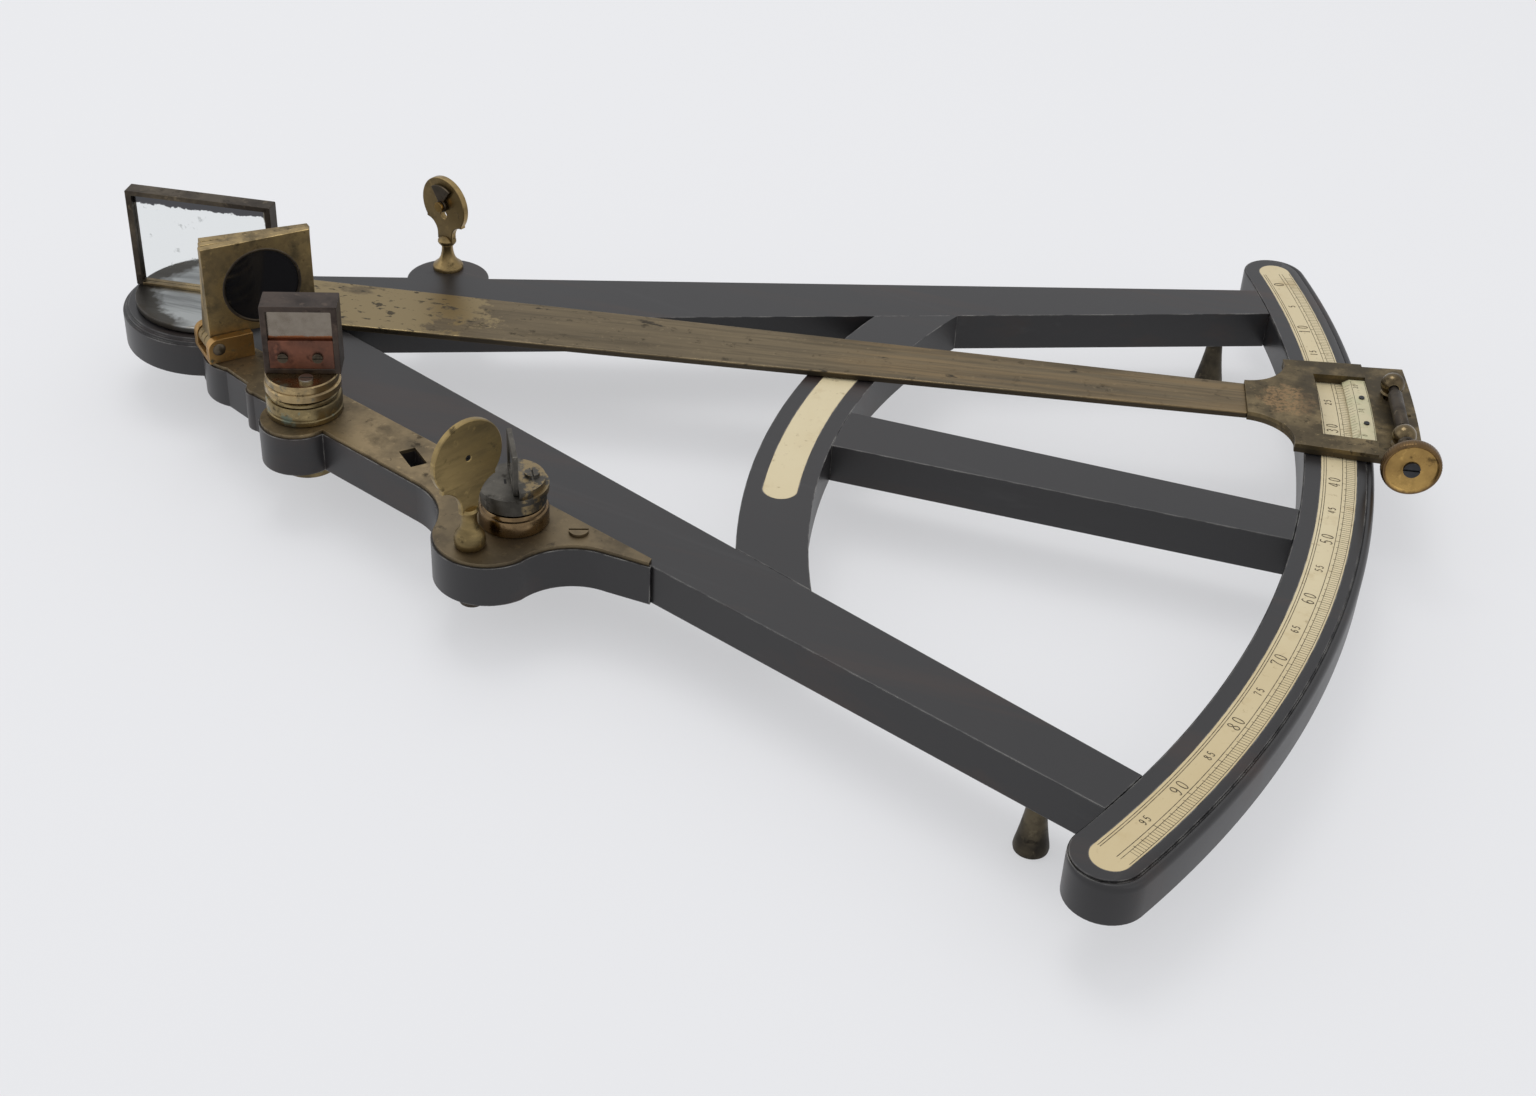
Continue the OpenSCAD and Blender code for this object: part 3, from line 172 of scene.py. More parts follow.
def blotch_group():
    """A mask from noise with its own threshold and softness, which can be stretched and turned."""
    made, given, put, where = group("blotches", Scale=40.0, Detail=6.0, Low=0.4, High=0.65, Stretch=(1, 1, 1),
        Turn=(0, 0, 0))
    slant = node(made, "ShaderNodeVectorRotate", rotation_type="EULER_XYZ")
    scaled = node(made, "ShaderNodeVectorMath", operation="MULTIPLY")
    noise = node(made, "ShaderNodeTexNoise", Roughness=0.62)
    limits = node(made, "ShaderNodeMapRange")
    wire(made, (where, "Object", slant, "Vector"), (given, "Turn", slant, "Rotation"), (slant, 0, scaled, 0),
        (given, "Stretch", scaled, 1), (scaled, 0, noise, "Vector"), (given, "Scale", noise, "Scale"),
        (given, "Detail", noise, "Detail"), (noise, "Fac", limits, "Value"), (given, "Low", limits, "From Min"),
        (given, "High", limits, "From Max"), (limits, 0, put, "Mask"))
    return made

def edge_group():
    """A mask that is 1 along edges, broken up by noise: it places worn edges, and on the ebony a painted highlight too.
    """
    made, given, put, where = group("edge_wear_and_highlight", Radius=0.0008, Scale=120.0, Amount=1.0)
    soft = node(made, "ShaderNodeBevel", samples=6)
    true = node(made, "ShaderNodeNewGeometry")
    dot = node(made, "ShaderNodeVectorMath", operation="DOT_PRODUCT")
    turn = node(made, "ShaderNodeMapRange", From_Min=0.995, From_Max=0.82)
    noise = node(made, "ShaderNodeTexNoise", Detail=5.0, Roughness=0.65)
    broken = node(made, "ShaderNodeMapRange", From_Min=0.42, From_Max=0.62)
    both = node(made, "ShaderNodeMath", operation="MULTIPLY")
    level = node(made, "ShaderNodeMath", operation="MULTIPLY", use_clamp=True)
    wire(made, (given, "Radius", soft, "Radius"), (soft, 0, dot, 0), (true, "Normal", dot, 1),
        (dot, "Value", turn, "Value"), (where, "Object", noise, "Vector"), (given, "Scale", noise, "Scale"),
        (noise, "Fac", broken, "Value"), (turn, 0, both, 0), (broken, 0, both, 1), (both, 0, level, 0),
        (given, "Amount", level, 1), (level, 0, put, "Mask"))
    return made

def scratch_group():
    """A mask of thin scratches: noise stretched along a slant, thresholded to hairlines."""
    made, given, put, where = group("hairlines", Scale=90.0, Turn=(0, 0, 0.2), Amount=0.5)
    slant = node(made, "ShaderNodeVectorRotate", rotation_type="EULER_XYZ")
    stretch = node(made, "ShaderNodeVectorMath", operation="MULTIPLY")
    stretch.inputs[1].default_value = (0.06, 1.6, 1.6)
    noise = node(made, "ShaderNodeTexNoise", Detail=3.0, Roughness=0.7)
    thin = node(made, "ShaderNodeMapRange", From_Min=0.6, From_Max=0.72)
    level = node(made, "ShaderNodeMath", operation="MULTIPLY", use_clamp=True)
    wire(made, (where, "Object", slant, "Vector"), (given, "Turn", slant, "Rotation"), (slant, 0, stretch, 0),
        (stretch, 0, noise, "Vector"), (given, "Scale", noise, "Scale"), (noise, "Fac", thin, "Value"),
        (thin, 0, level, 0), (given, "Amount", level, 1), (level, 0, put, "Mask"))
    return made

def ragged_group(name, operation, measured, default):
    """A mask that rises over Width where a distance, shaken by noise, passes Start."""
    made, given, put, where = group(name, **{measured: default}, Start=0.0, Width=0.001, Ragged=0.002, Scale=200.0)
    distance = node(made, "ShaderNodeVectorMath", operation=operation)
    noise = node(made, "ShaderNodeTexNoise", Detail=6.0, Roughness=0.68)
    shake = node(made, "ShaderNodeMath", operation="SUBTRACT")
    shake.inputs[1].default_value = 0.5
    shaken = node(made, "ShaderNodeMath", operation="MULTIPLY_ADD")
    past = node(made, "ShaderNodeMath", operation="SUBTRACT")
    share = node(made, "ShaderNodeMath", operation="DIVIDE", use_clamp=True)
    wire(made, (where, "Object", distance, 0), (given, measured, distance, 1), (where, "Object", noise, "Vector"),
        (given, "Scale", noise, "Scale"), (noise, "Fac", shake, 0), (shake, 0, shaken, 0), (given, "Ragged", shaken, 1),
        (distance, "Value", shaken, 2), (shaken, 0, past, 0), (given, "Start", past, 1), (past, 0, share, 0),
        (given, "Width", share, 1), (share, 0, put, "Mask"))
    return made

BLOTCH, EDGE, SCRATCH = blotch_group(), edge_group(), scratch_group()
LINE = ragged_group("ragged_line", "DOT_PRODUCT", "Direction", (0, 0, 1))
CIRCLE = ragged_group("ragged_circle", "DISTANCE", "Centre", (0, 0, 0))
print("groups", [one.name for one in (BLOTCH, EDGE, SCRATCH, LINE, CIRCLE)])

# %% [markdown]
# ## Finishes
# Each finish starts from a base colour. Layers are then mixed over it one after another, each through a mask from
# the groups: a second tone in blotches, stretched streaks for grain, hairline scratches, and the rub along edges,
# which on the ebony is also a painted highlight.
# The same masks drive the roughness, so that worn places also shine differently.

# %% Finish builder
class Finish:
    """A Principled material whose colour and roughness are built up in layers."""

    def __init__(self, name, colour, rough, metal=0.0, spec=0.5):
        self.material = new_material(name)
        self.tree = self.material.node_tree
        self.shader = node(self.tree, "ShaderNodeBsdfPrincipled", Metallic=metal, Specular_IOR_Level=spec)
        wire(self.tree, (self.shader, 0, node(self.tree, "ShaderNodeOutputMaterial"), 0))
        self.colour, self.rough = (*colour, 1), rough

    def put(self, effect, **values):
        """Places one of the groups and gives its mask."""
        return node(self.tree, "ShaderNodeGroup", node_tree=effect, **values).outputs["Mask"]

    def spots(self, scale, low, high, **more):
        return self.put(BLOTCH, Scale=scale, Low=low, High=high, **more)

    def edges(self, radius, scale, amount):
        return self.put(EDGE, Radius=radius, Scale=scale, Amount=amount)

    def past(self, direction, start, width, ragged, scale):
        """1 beyond a ragged line."""
        return self.put(LINE, Direction=direction, Start=start, Width=width, Ragged=ragged, Scale=scale)

    def around(self, start, width, ragged, scale, centre=(0, 0, 0)):
        """1 outside a ragged circle."""
        return self.put(CIRCLE, Centre=centre, Start=start, Width=width, Ragged=ragged, Scale=scale)

    def feed(self, socket, value):
        """Gives a socket a plain value or joins it to an output."""
        if hasattr(value, "is_output"):
            self.tree.links.new(value, socket)
        else:
            socket.default_value = value

    def blend(self, kind, mask, sockets, under, over):
        """Mixes two values by a mask; a Mix node has its sockets for numbers and for colours at their own places."""
        low, high, result = sockets
        mix = node(self.tree, "ShaderNodeMix", data_type=kind)
        self.feed(mix.inputs[0], mask)
        self.feed(mix.inputs[low], under)
        self.feed(mix.inputs[high], over)
        return mix.outputs[result]

    def layer(self, mask, colour, rough, strength=1.0):
        """Mixes a colour and a roughness over what is there, where the mask is 1."""
        if strength != 1.0:
            mask = self.both(mask, strength)
        self.colour = self.blend("RGBA", mask, (6, 7, 2), self.colour, (*colour, 1))
        self.rough = self.blend("FLOAT", mask, (2, 3, 0), self.rough, rough)

    def combine(self, operation, one, two):
        made = node(self.tree, "ShaderNodeMath", operation=operation)
        self.feed(made.inputs[0], one)
        self.feed(made.inputs[1], two)
        return made.outputs[0]

    def inside(self, mask):
        """The mask the other way round."""
        return self.combine("SUBTRACT", 1.0, mask)

    def both(self, one, two):
        """Where both masks are 1, or a mask made weaker by a number."""
        return self.combine("MULTIPLY", one, two)

    def bump(self, mask, depth):
        """A slight relief that follows a mask."""
        made = node(self.tree, "ShaderNodeBump", Strength=0.25, Distance=depth)
        self.feed(made.inputs["Height"], mask)
        wire(self.tree, (made, 0, self.shader, "Normal"))

    def done(self):
        self.feed(self.shader.inputs["Base Color"], self.colour)
        self.feed(self.shader.inputs["Roughness"], self.rough)
        return self.material
print("finish builder ready")

# %% Ebony, ivory and ink
ebony = Finish("ebony", (0.013, 0.0126, 0.0134), 0.34)
streaks = ebony.spots(30.0, 0.52, 0.76, Stretch=(0.12, 1.6, 1.6))
ebony.layer(streaks, (0.046, 0.022, 0.013), 0.4, 0.8)
ebony.layer(ebony.spots(14.0, 0.35, 0.75), (0.017, 0.0146, 0.0148), 0.42, 0.7)
ebony.layer(ebony.put(SCRATCH, Scale=60.0, Amount=0.3), (0.04, 0.039, 0.04), 0.5)
# Pale lines along the ebony's edges: wear, and a painted highlight.
ebony.layer(ebony.edges(0.0006, 130.0, 1.0), (0.28, 0.27, 0.25), 0.42)
ebony.bump(streaks, 0.00005)
EBONY = ebony.done()

ivory = Finish("ivory", (0.62, 0.535, 0.345), 0.4, spec=0.4)
ivory.layer(ivory.spots(26.0, 0.38, 0.72, Stretch=(1, 0.4, 1)), (0.53, 0.43, 0.25), 0.44, 0.7)
ivory.layer(ivory.spots(95.0, 0.56, 0.74), (0.4, 0.285, 0.13), 0.47, 0.5)
ivory.layer(ivory.spots(420.0, 0.62, 0.7), (0.22, 0.15, 0.07), 0.5, 0.5)
ivory.layer(ivory.edges(0.0006, 90.0, 0.8), (0.26, 0.18, 0.085), 0.55)
ivory.layer(ivory.past((0, -1, 0), 0.0, 0.14, 0.08, 30.0), (0.52, 0.4, 0.2), 0.42, 0.5)
IVORY = ivory.done()

green = Finish("vernier_ivory", (0.57, 0.505, 0.325), 0.4, spec=0.4)
green.layer(green.spots(150.0, 0.42, 0.62), (0.46, 0.46, 0.28), 0.44, 0.6)
green.layer(green.spots(420.0, 0.58, 0.68), (0.25, 0.2, 0.1), 0.5, 0.6)
green.layer(green.edges(0.0005, 90.0, 0.8), (0.2, 0.16, 0.08), 0.55)
VERNIER_IVORY = green.done()

ink = Finish("ink", (0.045, 0.036, 0.026), 0.7, spec=0.2)
ink.layer(ink.spots(600.0, 0.42, 0.6), (0.25, 0.2, 0.125), 0.7, 0.65)
INK = ink.done()

# A near-black finish for painted shade, in the near sight's pinhole and the back table's slot.
painted_shade = Finish("painted_shade", (0.008, 0.0075, 0.007), 0.6, spec=0.2)
painted_shade.layer(painted_shade.spots(500.0, 0.4, 0.7), (0.025, 0.022, 0.018), 0.7)
PAINTED_SHADE = painted_shade.done()
print("wood, ivory and ink made")

# %% [markdown]
# ## Brass
# Old brass is never one colour: bare metal shows where hands rub it, and the rest is brown, grey or nearly black.
# One function lays the tarnish, dirt, scratches and rubbed edges, with colours of each piece's own. Pieces with marks
# in certain places, such as the silvery patch on the arm's head, get further layers inside a ragged circle or past a
# line.

# %% Brass in its several states
def brighter(colour, times):
    return tuple(min(1, c * times) for c in colour)

def brass(name, bare, tarnish, dirt, cover=(0.42, 0.6), rough=(0.34, 0.55), scale=38.0, edge=0.6, **lie):
    """Tarnished metal, open for more layers. cover holds the veil's Low and High, rough is that of bare and of
    tarnished metal, and lie may give the blotches a Stretch and a Turn."""
    made = Finish(name, bare, rough[0], metal=1.0)
    veil = made.spots(scale, *cover, Detail=8.0, **lie)
    made.layer(veil, tarnish, rough[1])
    brown = tuple(0.5 * (a + b) for a, b in zip(tarnish, dirt))
    made.layer(made.spots(scale * 2.2, 0.5, 0.64, Detail=9.0, **lie), brown, 0.58, 0.7)
    made.layer(made.spots(scale * 9.0, 0.6, 0.68), brighter(bare, 1.2), rough[0], 0.6)
    made.layer(made.put(SCRATCH, Scale=70.0, Amount=0.4, Turn=(0, 0, 0.5)), bare, rough[0])
    made.layer(made.spots(scale * 5.5, 0.6, 0.7), dirt, 0.65, 0.8)
    made.layer(made.edges(0.0005, 110.0, edge), brighter(bare, 1.25), rough[0])
    made.bump(veil, 0.00006)
    return made

def aged(made, stain, scale, low=0.58, high=0.68, amount=0.7):
    """A further stain in small patches, such as green or red corrosion."""
    made.layer(made.spots(scale, low, high), stain, 0.6, amount)
    return made

ALONG = (0, 0, -ARM_DIR)  # turns the grain to lie along the arm
ARM_OUT = (math.cos(ARM_DIR), math.sin(ARM_DIR), 0)
ARM_ACROSS = (-math.sin(ARM_DIR), math.cos(ARM_DIR), 0)
# Painted shade: the sides of the arm and the end frame, below the top's edge, are darkened.
SHADED_SIDES = ((0, 0, -1), -0.0337, 0.0003, 0.0004, 200.0)  # past this line lie the sides, below the top's edge
arm = brass("arm_brass", (0.21, 0.162, 0.094), (0.135, 0.107, 0.068), (0.05, 0.04, 0.026), (0.36, 0.58), (0.42, 0.5),
    46.0, 0.4, Stretch=(0.16, 1.3, 1.3), Turn=ALONG)
warm = arm.around(0.2, 0.03, 0.03, 60.0)
grain = arm.spots(120.0, 0.42, 0.58, Detail=8.0, Stretch=(0.08, 1.6, 1), Turn=ALONG)
arm.layer(arm.both(warm, grain), (0.245, 0.172, 0.087), 0.42, 0.7)
grain = arm.spots(520.0, 0.5, 0.62, Detail=4.0, Stretch=(0.05, 1.4, 1), Turn=ALONG)
arm.layer(grain, (0.085, 0.069, 0.046), 0.5, 0.45)
worn = arm.inside(arm.around(0.092, 0.005, 0.1, 60.0))
rubbed = arm.spots(70.0, 0.36, 0.43, Detail=8.0, Stretch=(0.4, 1, 1), Turn=ALONG)
arm.layer(arm.both(worn, rubbed), (0.265, 0.203, 0.104), 0.36)
specks = arm.spots(380.0, 0.58, 0.62, Stretch=(0.5, 1, 1), Turn=ALONG)
arm.layer(arm.both(worn, specks), (0.05, 0.042, 0.03), 0.55, 0.9)
arm.layer(arm.spots(190.0, 0.64, 0.7, Stretch=(0.5, 1, 1)), (0.06, 0.05, 0.036), 0.6)
head = arm.inside(arm.around(0.043, 0.002, 0.014, 110.0))
arm.layer(head, (0.46, 0.47, 0.465), 0.34)
brushed = arm.spots(130.0, 0.45, 0.62, Detail=9.0, Stretch=(0.12, 1.5, 1))
arm.layer(arm.both(head, brushed), (0.2, 0.205, 0.205), 0.45, 0.8)
rim = arm.around(0.0215, 0.003, 0.012, 160.0, (0.005, 0.0, 0.034))
rim = arm.both(rim, arm.past((-1, 0, 0), -0.006, 0.008, 0.006, 120.0))
arm.layer(rim, (0.05, 0.043, 0.034), 0.45, 0.92)
# Painted shade on the arm's sides.
arm.layer(arm.past(*SHADED_SIDES), (0.045, 0.038, 0.03), 0.5, 0.85)
ARM_BRASS = arm.done()

end = brass("end_brass", (0.26, 0.195, 0.1), (0.112, 0.087, 0.05), (0.035, 0.029, 0.021), (0.36, 0.56), (0.4, 0.52),
    60.0)
copper = end.inside(end.around(0.0078, 0.002, 0.012, 260.0, (0.3515, 0.0665, 0.0345)))
end.layer(end.both(copper, end.spots(900.0, 0.4, 0.55)), (0.32, 0.205, 0.1), 0.42, 0.8)
outward = end.both(end.past(ARM_OUT, 0.3605, 0.003, 0.006, 260.0), end.past(ARM_ACROSS, -0.009, 0.003, 0.003, 200.0))
end.layer(end.both(outward, end.spots(120.0, 0.3, 0.55)), (0.062, 0.05, 0.032), 0.48, 0.75)
# Painted shade on the end frame's sides.
end.layer(end.past(*SHADED_SIDES), (0.075, 0.06, 0.04), 0.5, 0.8)
END_BRASS = end.done()

KNOB_FACE = (0.392, 0.0342, 0.0378)
gold = brass("gold_brass", (0.47, 0.3, 0.1), (0.28, 0.175, 0.062), (0.07, 0.045, 0.02), (0.42, 0.66), (0.26, 0.44))
rim = gold.both(gold.around(0.0078, 0.0006, 0.0012, 500.0, KNOB_FACE),
    gold.inside(gold.around(0.013, 0.001, 0.0, 50.0, KNOB_FACE)))
gold.layer(rim, (0.11, 0.068, 0.036), 0.34, 0.85)
GOLD_BRASS = gold.done()

flat = brass("plate_brass", (0.31, 0.235, 0.132), (0.14, 0.11, 0.07), (0.04, 0.032, 0.022), (0.36, 0.6), (0.42, 0.56))
flat.layer(flat.past((1, 0, 0), 0.118, 0.01, 0.03, 90.0), (0.075, 0.062, 0.045), 0.5, 0.55)
PLATE_BRASS = flat.done()

TABLE_SCREW = (0.0666, -0.059, 0.047)
dark = brass("dark_brass", (0.15, 0.12, 0.08), (0.06, 0.05, 0.04), (0.02, 0.016, 0.012), (0.3, 0.55), (0.38, 0.52))
dark.layer(dark.inside(dark.around(0.003, 0.0005, 0.0, 50.0, TABLE_SCREW)), (0.4, 0.39, 0.35), 0.36, 0.85)
DARK_BRASS = dark.done()

grey = brass("grey_brass", (0.16, 0.147, 0.124), (0.08, 0.075, 0.066), (0.03, 0.027, 0.022), (0.34, 0.58), (0.38, 0.5))
raised = grey.past((0.866, 0.5, 0), 0.0852, 0.001, 0.001, 200.0)
grey.layer(grey.both(raised, grey.spots(260.0, 0.46, 0.54, Detail=9.0)), (0.27, 0.205, 0.11), 0.4, 0.85)
GREY_BRASS = grey.done()

SHADE_BRASS = aged(brass("shade_brass", (0.43, 0.315, 0.145), (0.21, 0.158, 0.083), (0.05, 0.038, 0.022), (0.38, 0.58),
    (0.38, 0.52), 64.0), (0.11, 0.088, 0.05), 130.0, 0.52, 0.64, 0.75).done()
FORK_BRASS = aged(brass("fork_brass", (0.46, 0.275, 0.1), (0.27, 0.165, 0.065), (0.05, 0.04, 0.026)),
    (0.13, 0.15, 0.11), 240.0).done()
STAND_BRASS = aged(brass("stand_brass", (0.29, 0.222, 0.108), (0.125, 0.098, 0.055), (0.05, 0.04, 0.025), (0.4, 0.6),
    (0.18, 0.42)), (0.17, 0.225, 0.19), 190.0, 0.58, 0.66).done()
TABLE_BRASS = aged(brass("table_brass", (0.4, 0.295, 0.15), (0.2, 0.15, 0.085), (0.055, 0.045, 0.03), (0.4, 0.6),
    (0.18, 0.4)), (0.1, 0.13, 0.12), 130.0, 0.6, 0.68).done()
SIGHT_BRASS = brass("sight_brass", (0.35, 0.255, 0.11), (0.165, 0.125, 0.06), (0.045, 0.035, 0.02), (0.38, 0.6),
    (0.34, 0.48), Stretch=(0.5, 0.5, 2.0)).done()
BALL_BRASS = brass("ball_brass", (0.24, 0.18, 0.095), (0.1, 0.076, 0.044), (0.04, 0.032, 0.02), (0.4, 0.62),
    (0.16, 0.28)).done()
FAR_BRASS = brass("far_brass", (0.34, 0.24, 0.105), (0.17, 0.125, 0.06), (0.05, 0.038, 0.02), (0.4, 0.62),
    (0.28, 0.44)).done()
PURPLE_BRASS = brass("purple_brass", (0.1, 0.074, 0.058), (0.052, 0.043, 0.039), (0.02, 0.015, 0.013), (0.35, 0.6),
    (0.42, 0.52)).done()
RED_BRASS = brass("red_brass", (0.2, 0.085, 0.055), (0.085, 0.05, 0.04), (0.025, 0.015, 0.012), (0.42, 0.62),
    (0.42, 0.52)).done()
DRUM_BRASS = brass("drum_brass", (0.2, 0.135, 0.07), (0.12, 0.08, 0.044), (0.045, 0.03, 0.018), (0.48, 0.72),
    (0.2, 0.36)).done()
FOOT_BRASS = brass("foot_brass", (0.115, 0.095, 0.062), (0.036, 0.032, 0.027), (0.02, 0.017, 0.014), (0.32, 0.56),
    (0.42, 0.55)).done()
BLUE_STEEL = brass("blue_steel", (0.075, 0.077, 0.083), (0.032, 0.032, 0.033), (0.02, 0.018, 0.016), (0.4, 0.65),
    (0.35, 0.5)).done()
print("brass finishes made")

# %% [markdown]
# ## Mirrors and shades
# The mirrors are glass with silver behind it, and old silvering comes away at the edges. Seen from the front, such a
# mirror is a bright metal with ragged dull borders, so it is made as that. The shades are nearly black.

# %% Glass
MIRROR_DIR = math.radians(7.9)  # the index mirror's direction from X
silver = Finish("silver_glass", (0.9, 0.92, 0.915), 0.05, metal=1.0)
silver.layer(silver.spots(260.0, 0.62, 0.7, Detail=8.0), (0.45, 0.47, 0.46), 0.2, 0.6)
silver.layer(silver.past((0, 0, 1), 0.0637, 0.0003, 0.0042, 240.0), (0.085, 0.085, 0.09), 0.16)
silver.layer(silver.past((math.cos(MIRROR_DIR), math.sin(MIRROR_DIR), 0), 0.0203, 0.0004, 0.003, 320.0),
    (0.2, 0.19, 0.15), 0.2)
SILVER = silver.done()

small = Finish("small_silver", (0.7, 0.72, 0.72), 0.07, metal=1.0)
small.layer(small.spots(240.0, 0.5, 0.66, Detail=8.0), (0.36, 0.35, 0.32), 0.25, 0.7)
SMALL_SILVER = small.done()

pale = Finish("half_silver", (0.225, 0.195, 0.16), 0.22, metal=1.0)
pale.layer(pale.spots(300.0, 0.4, 0.7), (0.18, 0.152, 0.122), 0.3)
pale.layer(pale.inside(pale.past((0, 0, 1), 0.0588, 0.0003, 0.0016, 500.0)), (0.32, 0.125, 0.055), 0.4)
HALF_SILVER = pale.done()

tint = Finish("shade_glass", (0.007, 0.007, 0.008), 0.08, spec=0.4)
tint.layer(tint.spots(120.0, 0.55, 0.8), (0.016, 0.015, 0.015), 0.25, 0.5)
SHADE_GLASS = tint.done()
print("glass made")

# %% [markdown]
# ## Dressing the solids
# Solids whose shape is already right keep it and only receive a finish. A weld joins the imported triangles along
# their edges and a narrow bevel then breaks each sharp edge, because no worked edge is ever perfectly sharp.
# Weighted normals keep the flat faces between the bevels flat.

# %% Materials on the solids
DRESS = {
    EBONY: "apex_block far_limb near_limb arc_limb brace centre_strut near_cheek",
    IVORY: "ivory_scale brace_plaque",
    VERNIER_IVORY: "vernier",
    ARM_BRASS: "index_arm clamp_shoe",
    END_BRASS: "arm_end_frame clamp_post screw_bearing clamp_screw",
    GOLD_BRASS: "tangent_knob pivot_bush shutter_pin",
    PLATE_BRASS: "mirror_plate plate_screw back_nut pivot_washer pivot_nut index_bracket",
    SHADE_BRASS: "shade_front shade_middle shade_back",
    FORK_BRASS: "shade_bracket",
    SIGHT_BRASS: "near_sight",
    FAR_BRASS: "far_sight",
    STAND_BRASS: "fore_drum fore_nut",
    TABLE_BRASS: "fore_table",
    DARK_BRASS: "tangent_rod index_frame index_back near_sight_nut far_sight_nut far_shutter fore_screws",
    GREY_BRASS: "back_table back_frame",
    PURPLE_BRASS: "fore_frame",
    RED_BRASS: "fore_plate",
    DRUM_BRASS: "back_drum",
    FOOT_BRASS: "far_foot near_foot apex_foot",
    BLUE_STEEL: "vernier_pins pivot_shaft index_screws knob_screw shade_pin",
    SILVER: "index_glass",
    SMALL_SILVER: "back_glass",
    HALF_SILVER: "fore_glass",
    SHADE_GLASS: "front_glass middle_glass back_shade_glass",
}
BEVEL = {"ebony": 0.4, "ivory": 0.15, "vernier_ivory": 0.1, "silver_glass": 0.1, "small_silver": 0.1,
    "half_silver": 0.1, "shade_glass": 0.15, "blue_steel": 0.15}
BRASS_BEVEL = 0.25

def soften(thing, width, sharper_than):
    """A narrow bevel in two steps on each edge that is sharper than an angle."""
    bevel = thing.modifiers.new("soften", "BEVEL")
    bevel.width, bevel.segments = width * MM, 2
    bevel.limit_method, bevel.angle_limit = "ANGLE", math.radians(sharper_than)

for finish, names in DRESS.items():
    for name in names.split():
        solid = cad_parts[name]
        solid.data.materials.clear()
        solid.data.materials.append(finish)
        solid.modifiers.new("weld", "WELD").merge_threshold = 0.00001
        soften(solid, BEVEL.get(finish.name, BRASS_BEVEL), 40)
        level = solid.modifiers.new("level", "WEIGHTED_NORMAL")
        level.weight, level.keep_sharp = 100, True
print("dressed", sum(len(names.split()) for names in DRESS.values()), "solids")

# %% [markdown]
# ## Helpers for new pieces
# Pieces that the solids don't carry, such as the engraved divisions, are built as closed meshes.
# A prism follows a flat outline, a turned piece follows a half profile round an axis, and each rides on its body.

# %% Piece helpers
def piece(name, bm, finish, body, bevel=0.0):
    """A mesh object from bmesh data in millimetres, finished, riding on a body."""
    bmesh.ops.remove_doubles(bm, verts=bm.verts, dist=0.0005)
    bmesh.ops.recalc_face_normals(bm, faces=bm.faces)
    bmesh.ops.scale(bm, vec=(MM, MM, MM), verts=bm.verts)
    mesh = bpy.data.meshes.new(name)
    bm.to_mesh(mesh)
    bm.free()
    mesh.materials.append(finish)
    mesh.shade_smooth()
    mesh.set_sharp_from_angle(angle=math.radians(35))
    made = bpy.data.objects.new(name, mesh)
    scene.collection.objects.link(made)
    if bevel:
        soften(made, bevel, 35)
    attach(made, body)
    return made

def at(x, y, z=0):
    return Matrix.Translation((x, y, z))

def spun(degrees):
    return Matrix.Rotation(math.radians(degrees), 4, "Z")

UPRIGHT = Matrix.Rotation(math.pi / 2, 4, "X")  # stands a flat thing up, its own Y now upward
FLIPPED = Matrix.Rotation(math.pi, 4, "X")

def polar(r, degrees):
    return (r * math.cos(math.radians(degrees)), r * math.sin(math.radians(degrees)))

def oblong(x0, x1, y0, y1):
    return [(x0, y0), (x1, y0), (x1, y1), (x0, y1)]

def prism(bm, outline, z0, z1, matrix):
    """A closed upright prism over a flat outline that runs anticlockwise."""
    low = [bm.verts.new(matrix @ Vector((x, y, z0))) for x, y in outline]
    high = [bm.verts.new(matrix @ Vector((x, y, z1))) for x, y in outline]
    bm.faces.new(high)
    bm.faces.new(low[::-1])
    for i in range(len(outline)):
        j = (i + 1) % len(outline)
        bm.faces.new((low[i], low[j], high[j], high[i]))

def turned(bm, profile, matrix, steps=96, ripple=None, loop=False):
    """A turned shape: profile points (radius, height) from the axis round and back to it, or a loop round a bore."""
    if loop:
        profile = list(profile) + [profile[0]]
    rings = []
    for r, z in profile:
        if r == 0:
            rings.append([bm.verts.new(matrix @ Vector((0, 0, z)))])
            continue
        ring = []
        for k in range(steps):
            a = 2 * math.pi * k / steps
            rr = r + (ripple(a, r) if ripple else 0)
            ring.append(bm.verts.new(matrix @ Vector((rr * math.cos(a), rr * math.sin(a), z))))
        rings.append(ring)
    for one, two in zip(rings, rings[1:]):
        for k in range(steps):
            a, b = one[k % len(one)], one[(k + 1) % len(one)]
            c, d = two[(k + 1) % len(two)], two[k % len(two)]
            corners = list(dict.fromkeys((a, b, c, d)))
            if len(corners) > 2:
                bm.faces.new(corners)

def bridge(bm, rings):
    """Joins rings of equal length one after another and closes the first and the last."""
    for one, two in zip(rings, rings[1:]):
        for k in range(len(one)):
            j = (k + 1) % len(one)
            bm.faces.new((one[k], one[j], two[j], two[k]))
    bm.faces.new(rings[0][::-1])
    bm.faces.new(rings[-1])
print("helpers ready")

# %% [markdown]
# ## The arc
# The arc of the real frame has a rounded and slightly sunk moulding along its top outer edge.
# Every level of it is the same long loop, two arcs joined by round ends, so the whole body is a stack of such loops.
# The last loops go down into the recess that holds the ivory.

# %% Arc body
ARC_IN, ARC_OUT, ARC_HALF = 362.0, 384.0, 25.7  # radii, and degrees from the middle to where each end turns round
RECESS_IN, RECESS_OUT, RECESS_FLOOR = 367.4, 378.3, 30.4

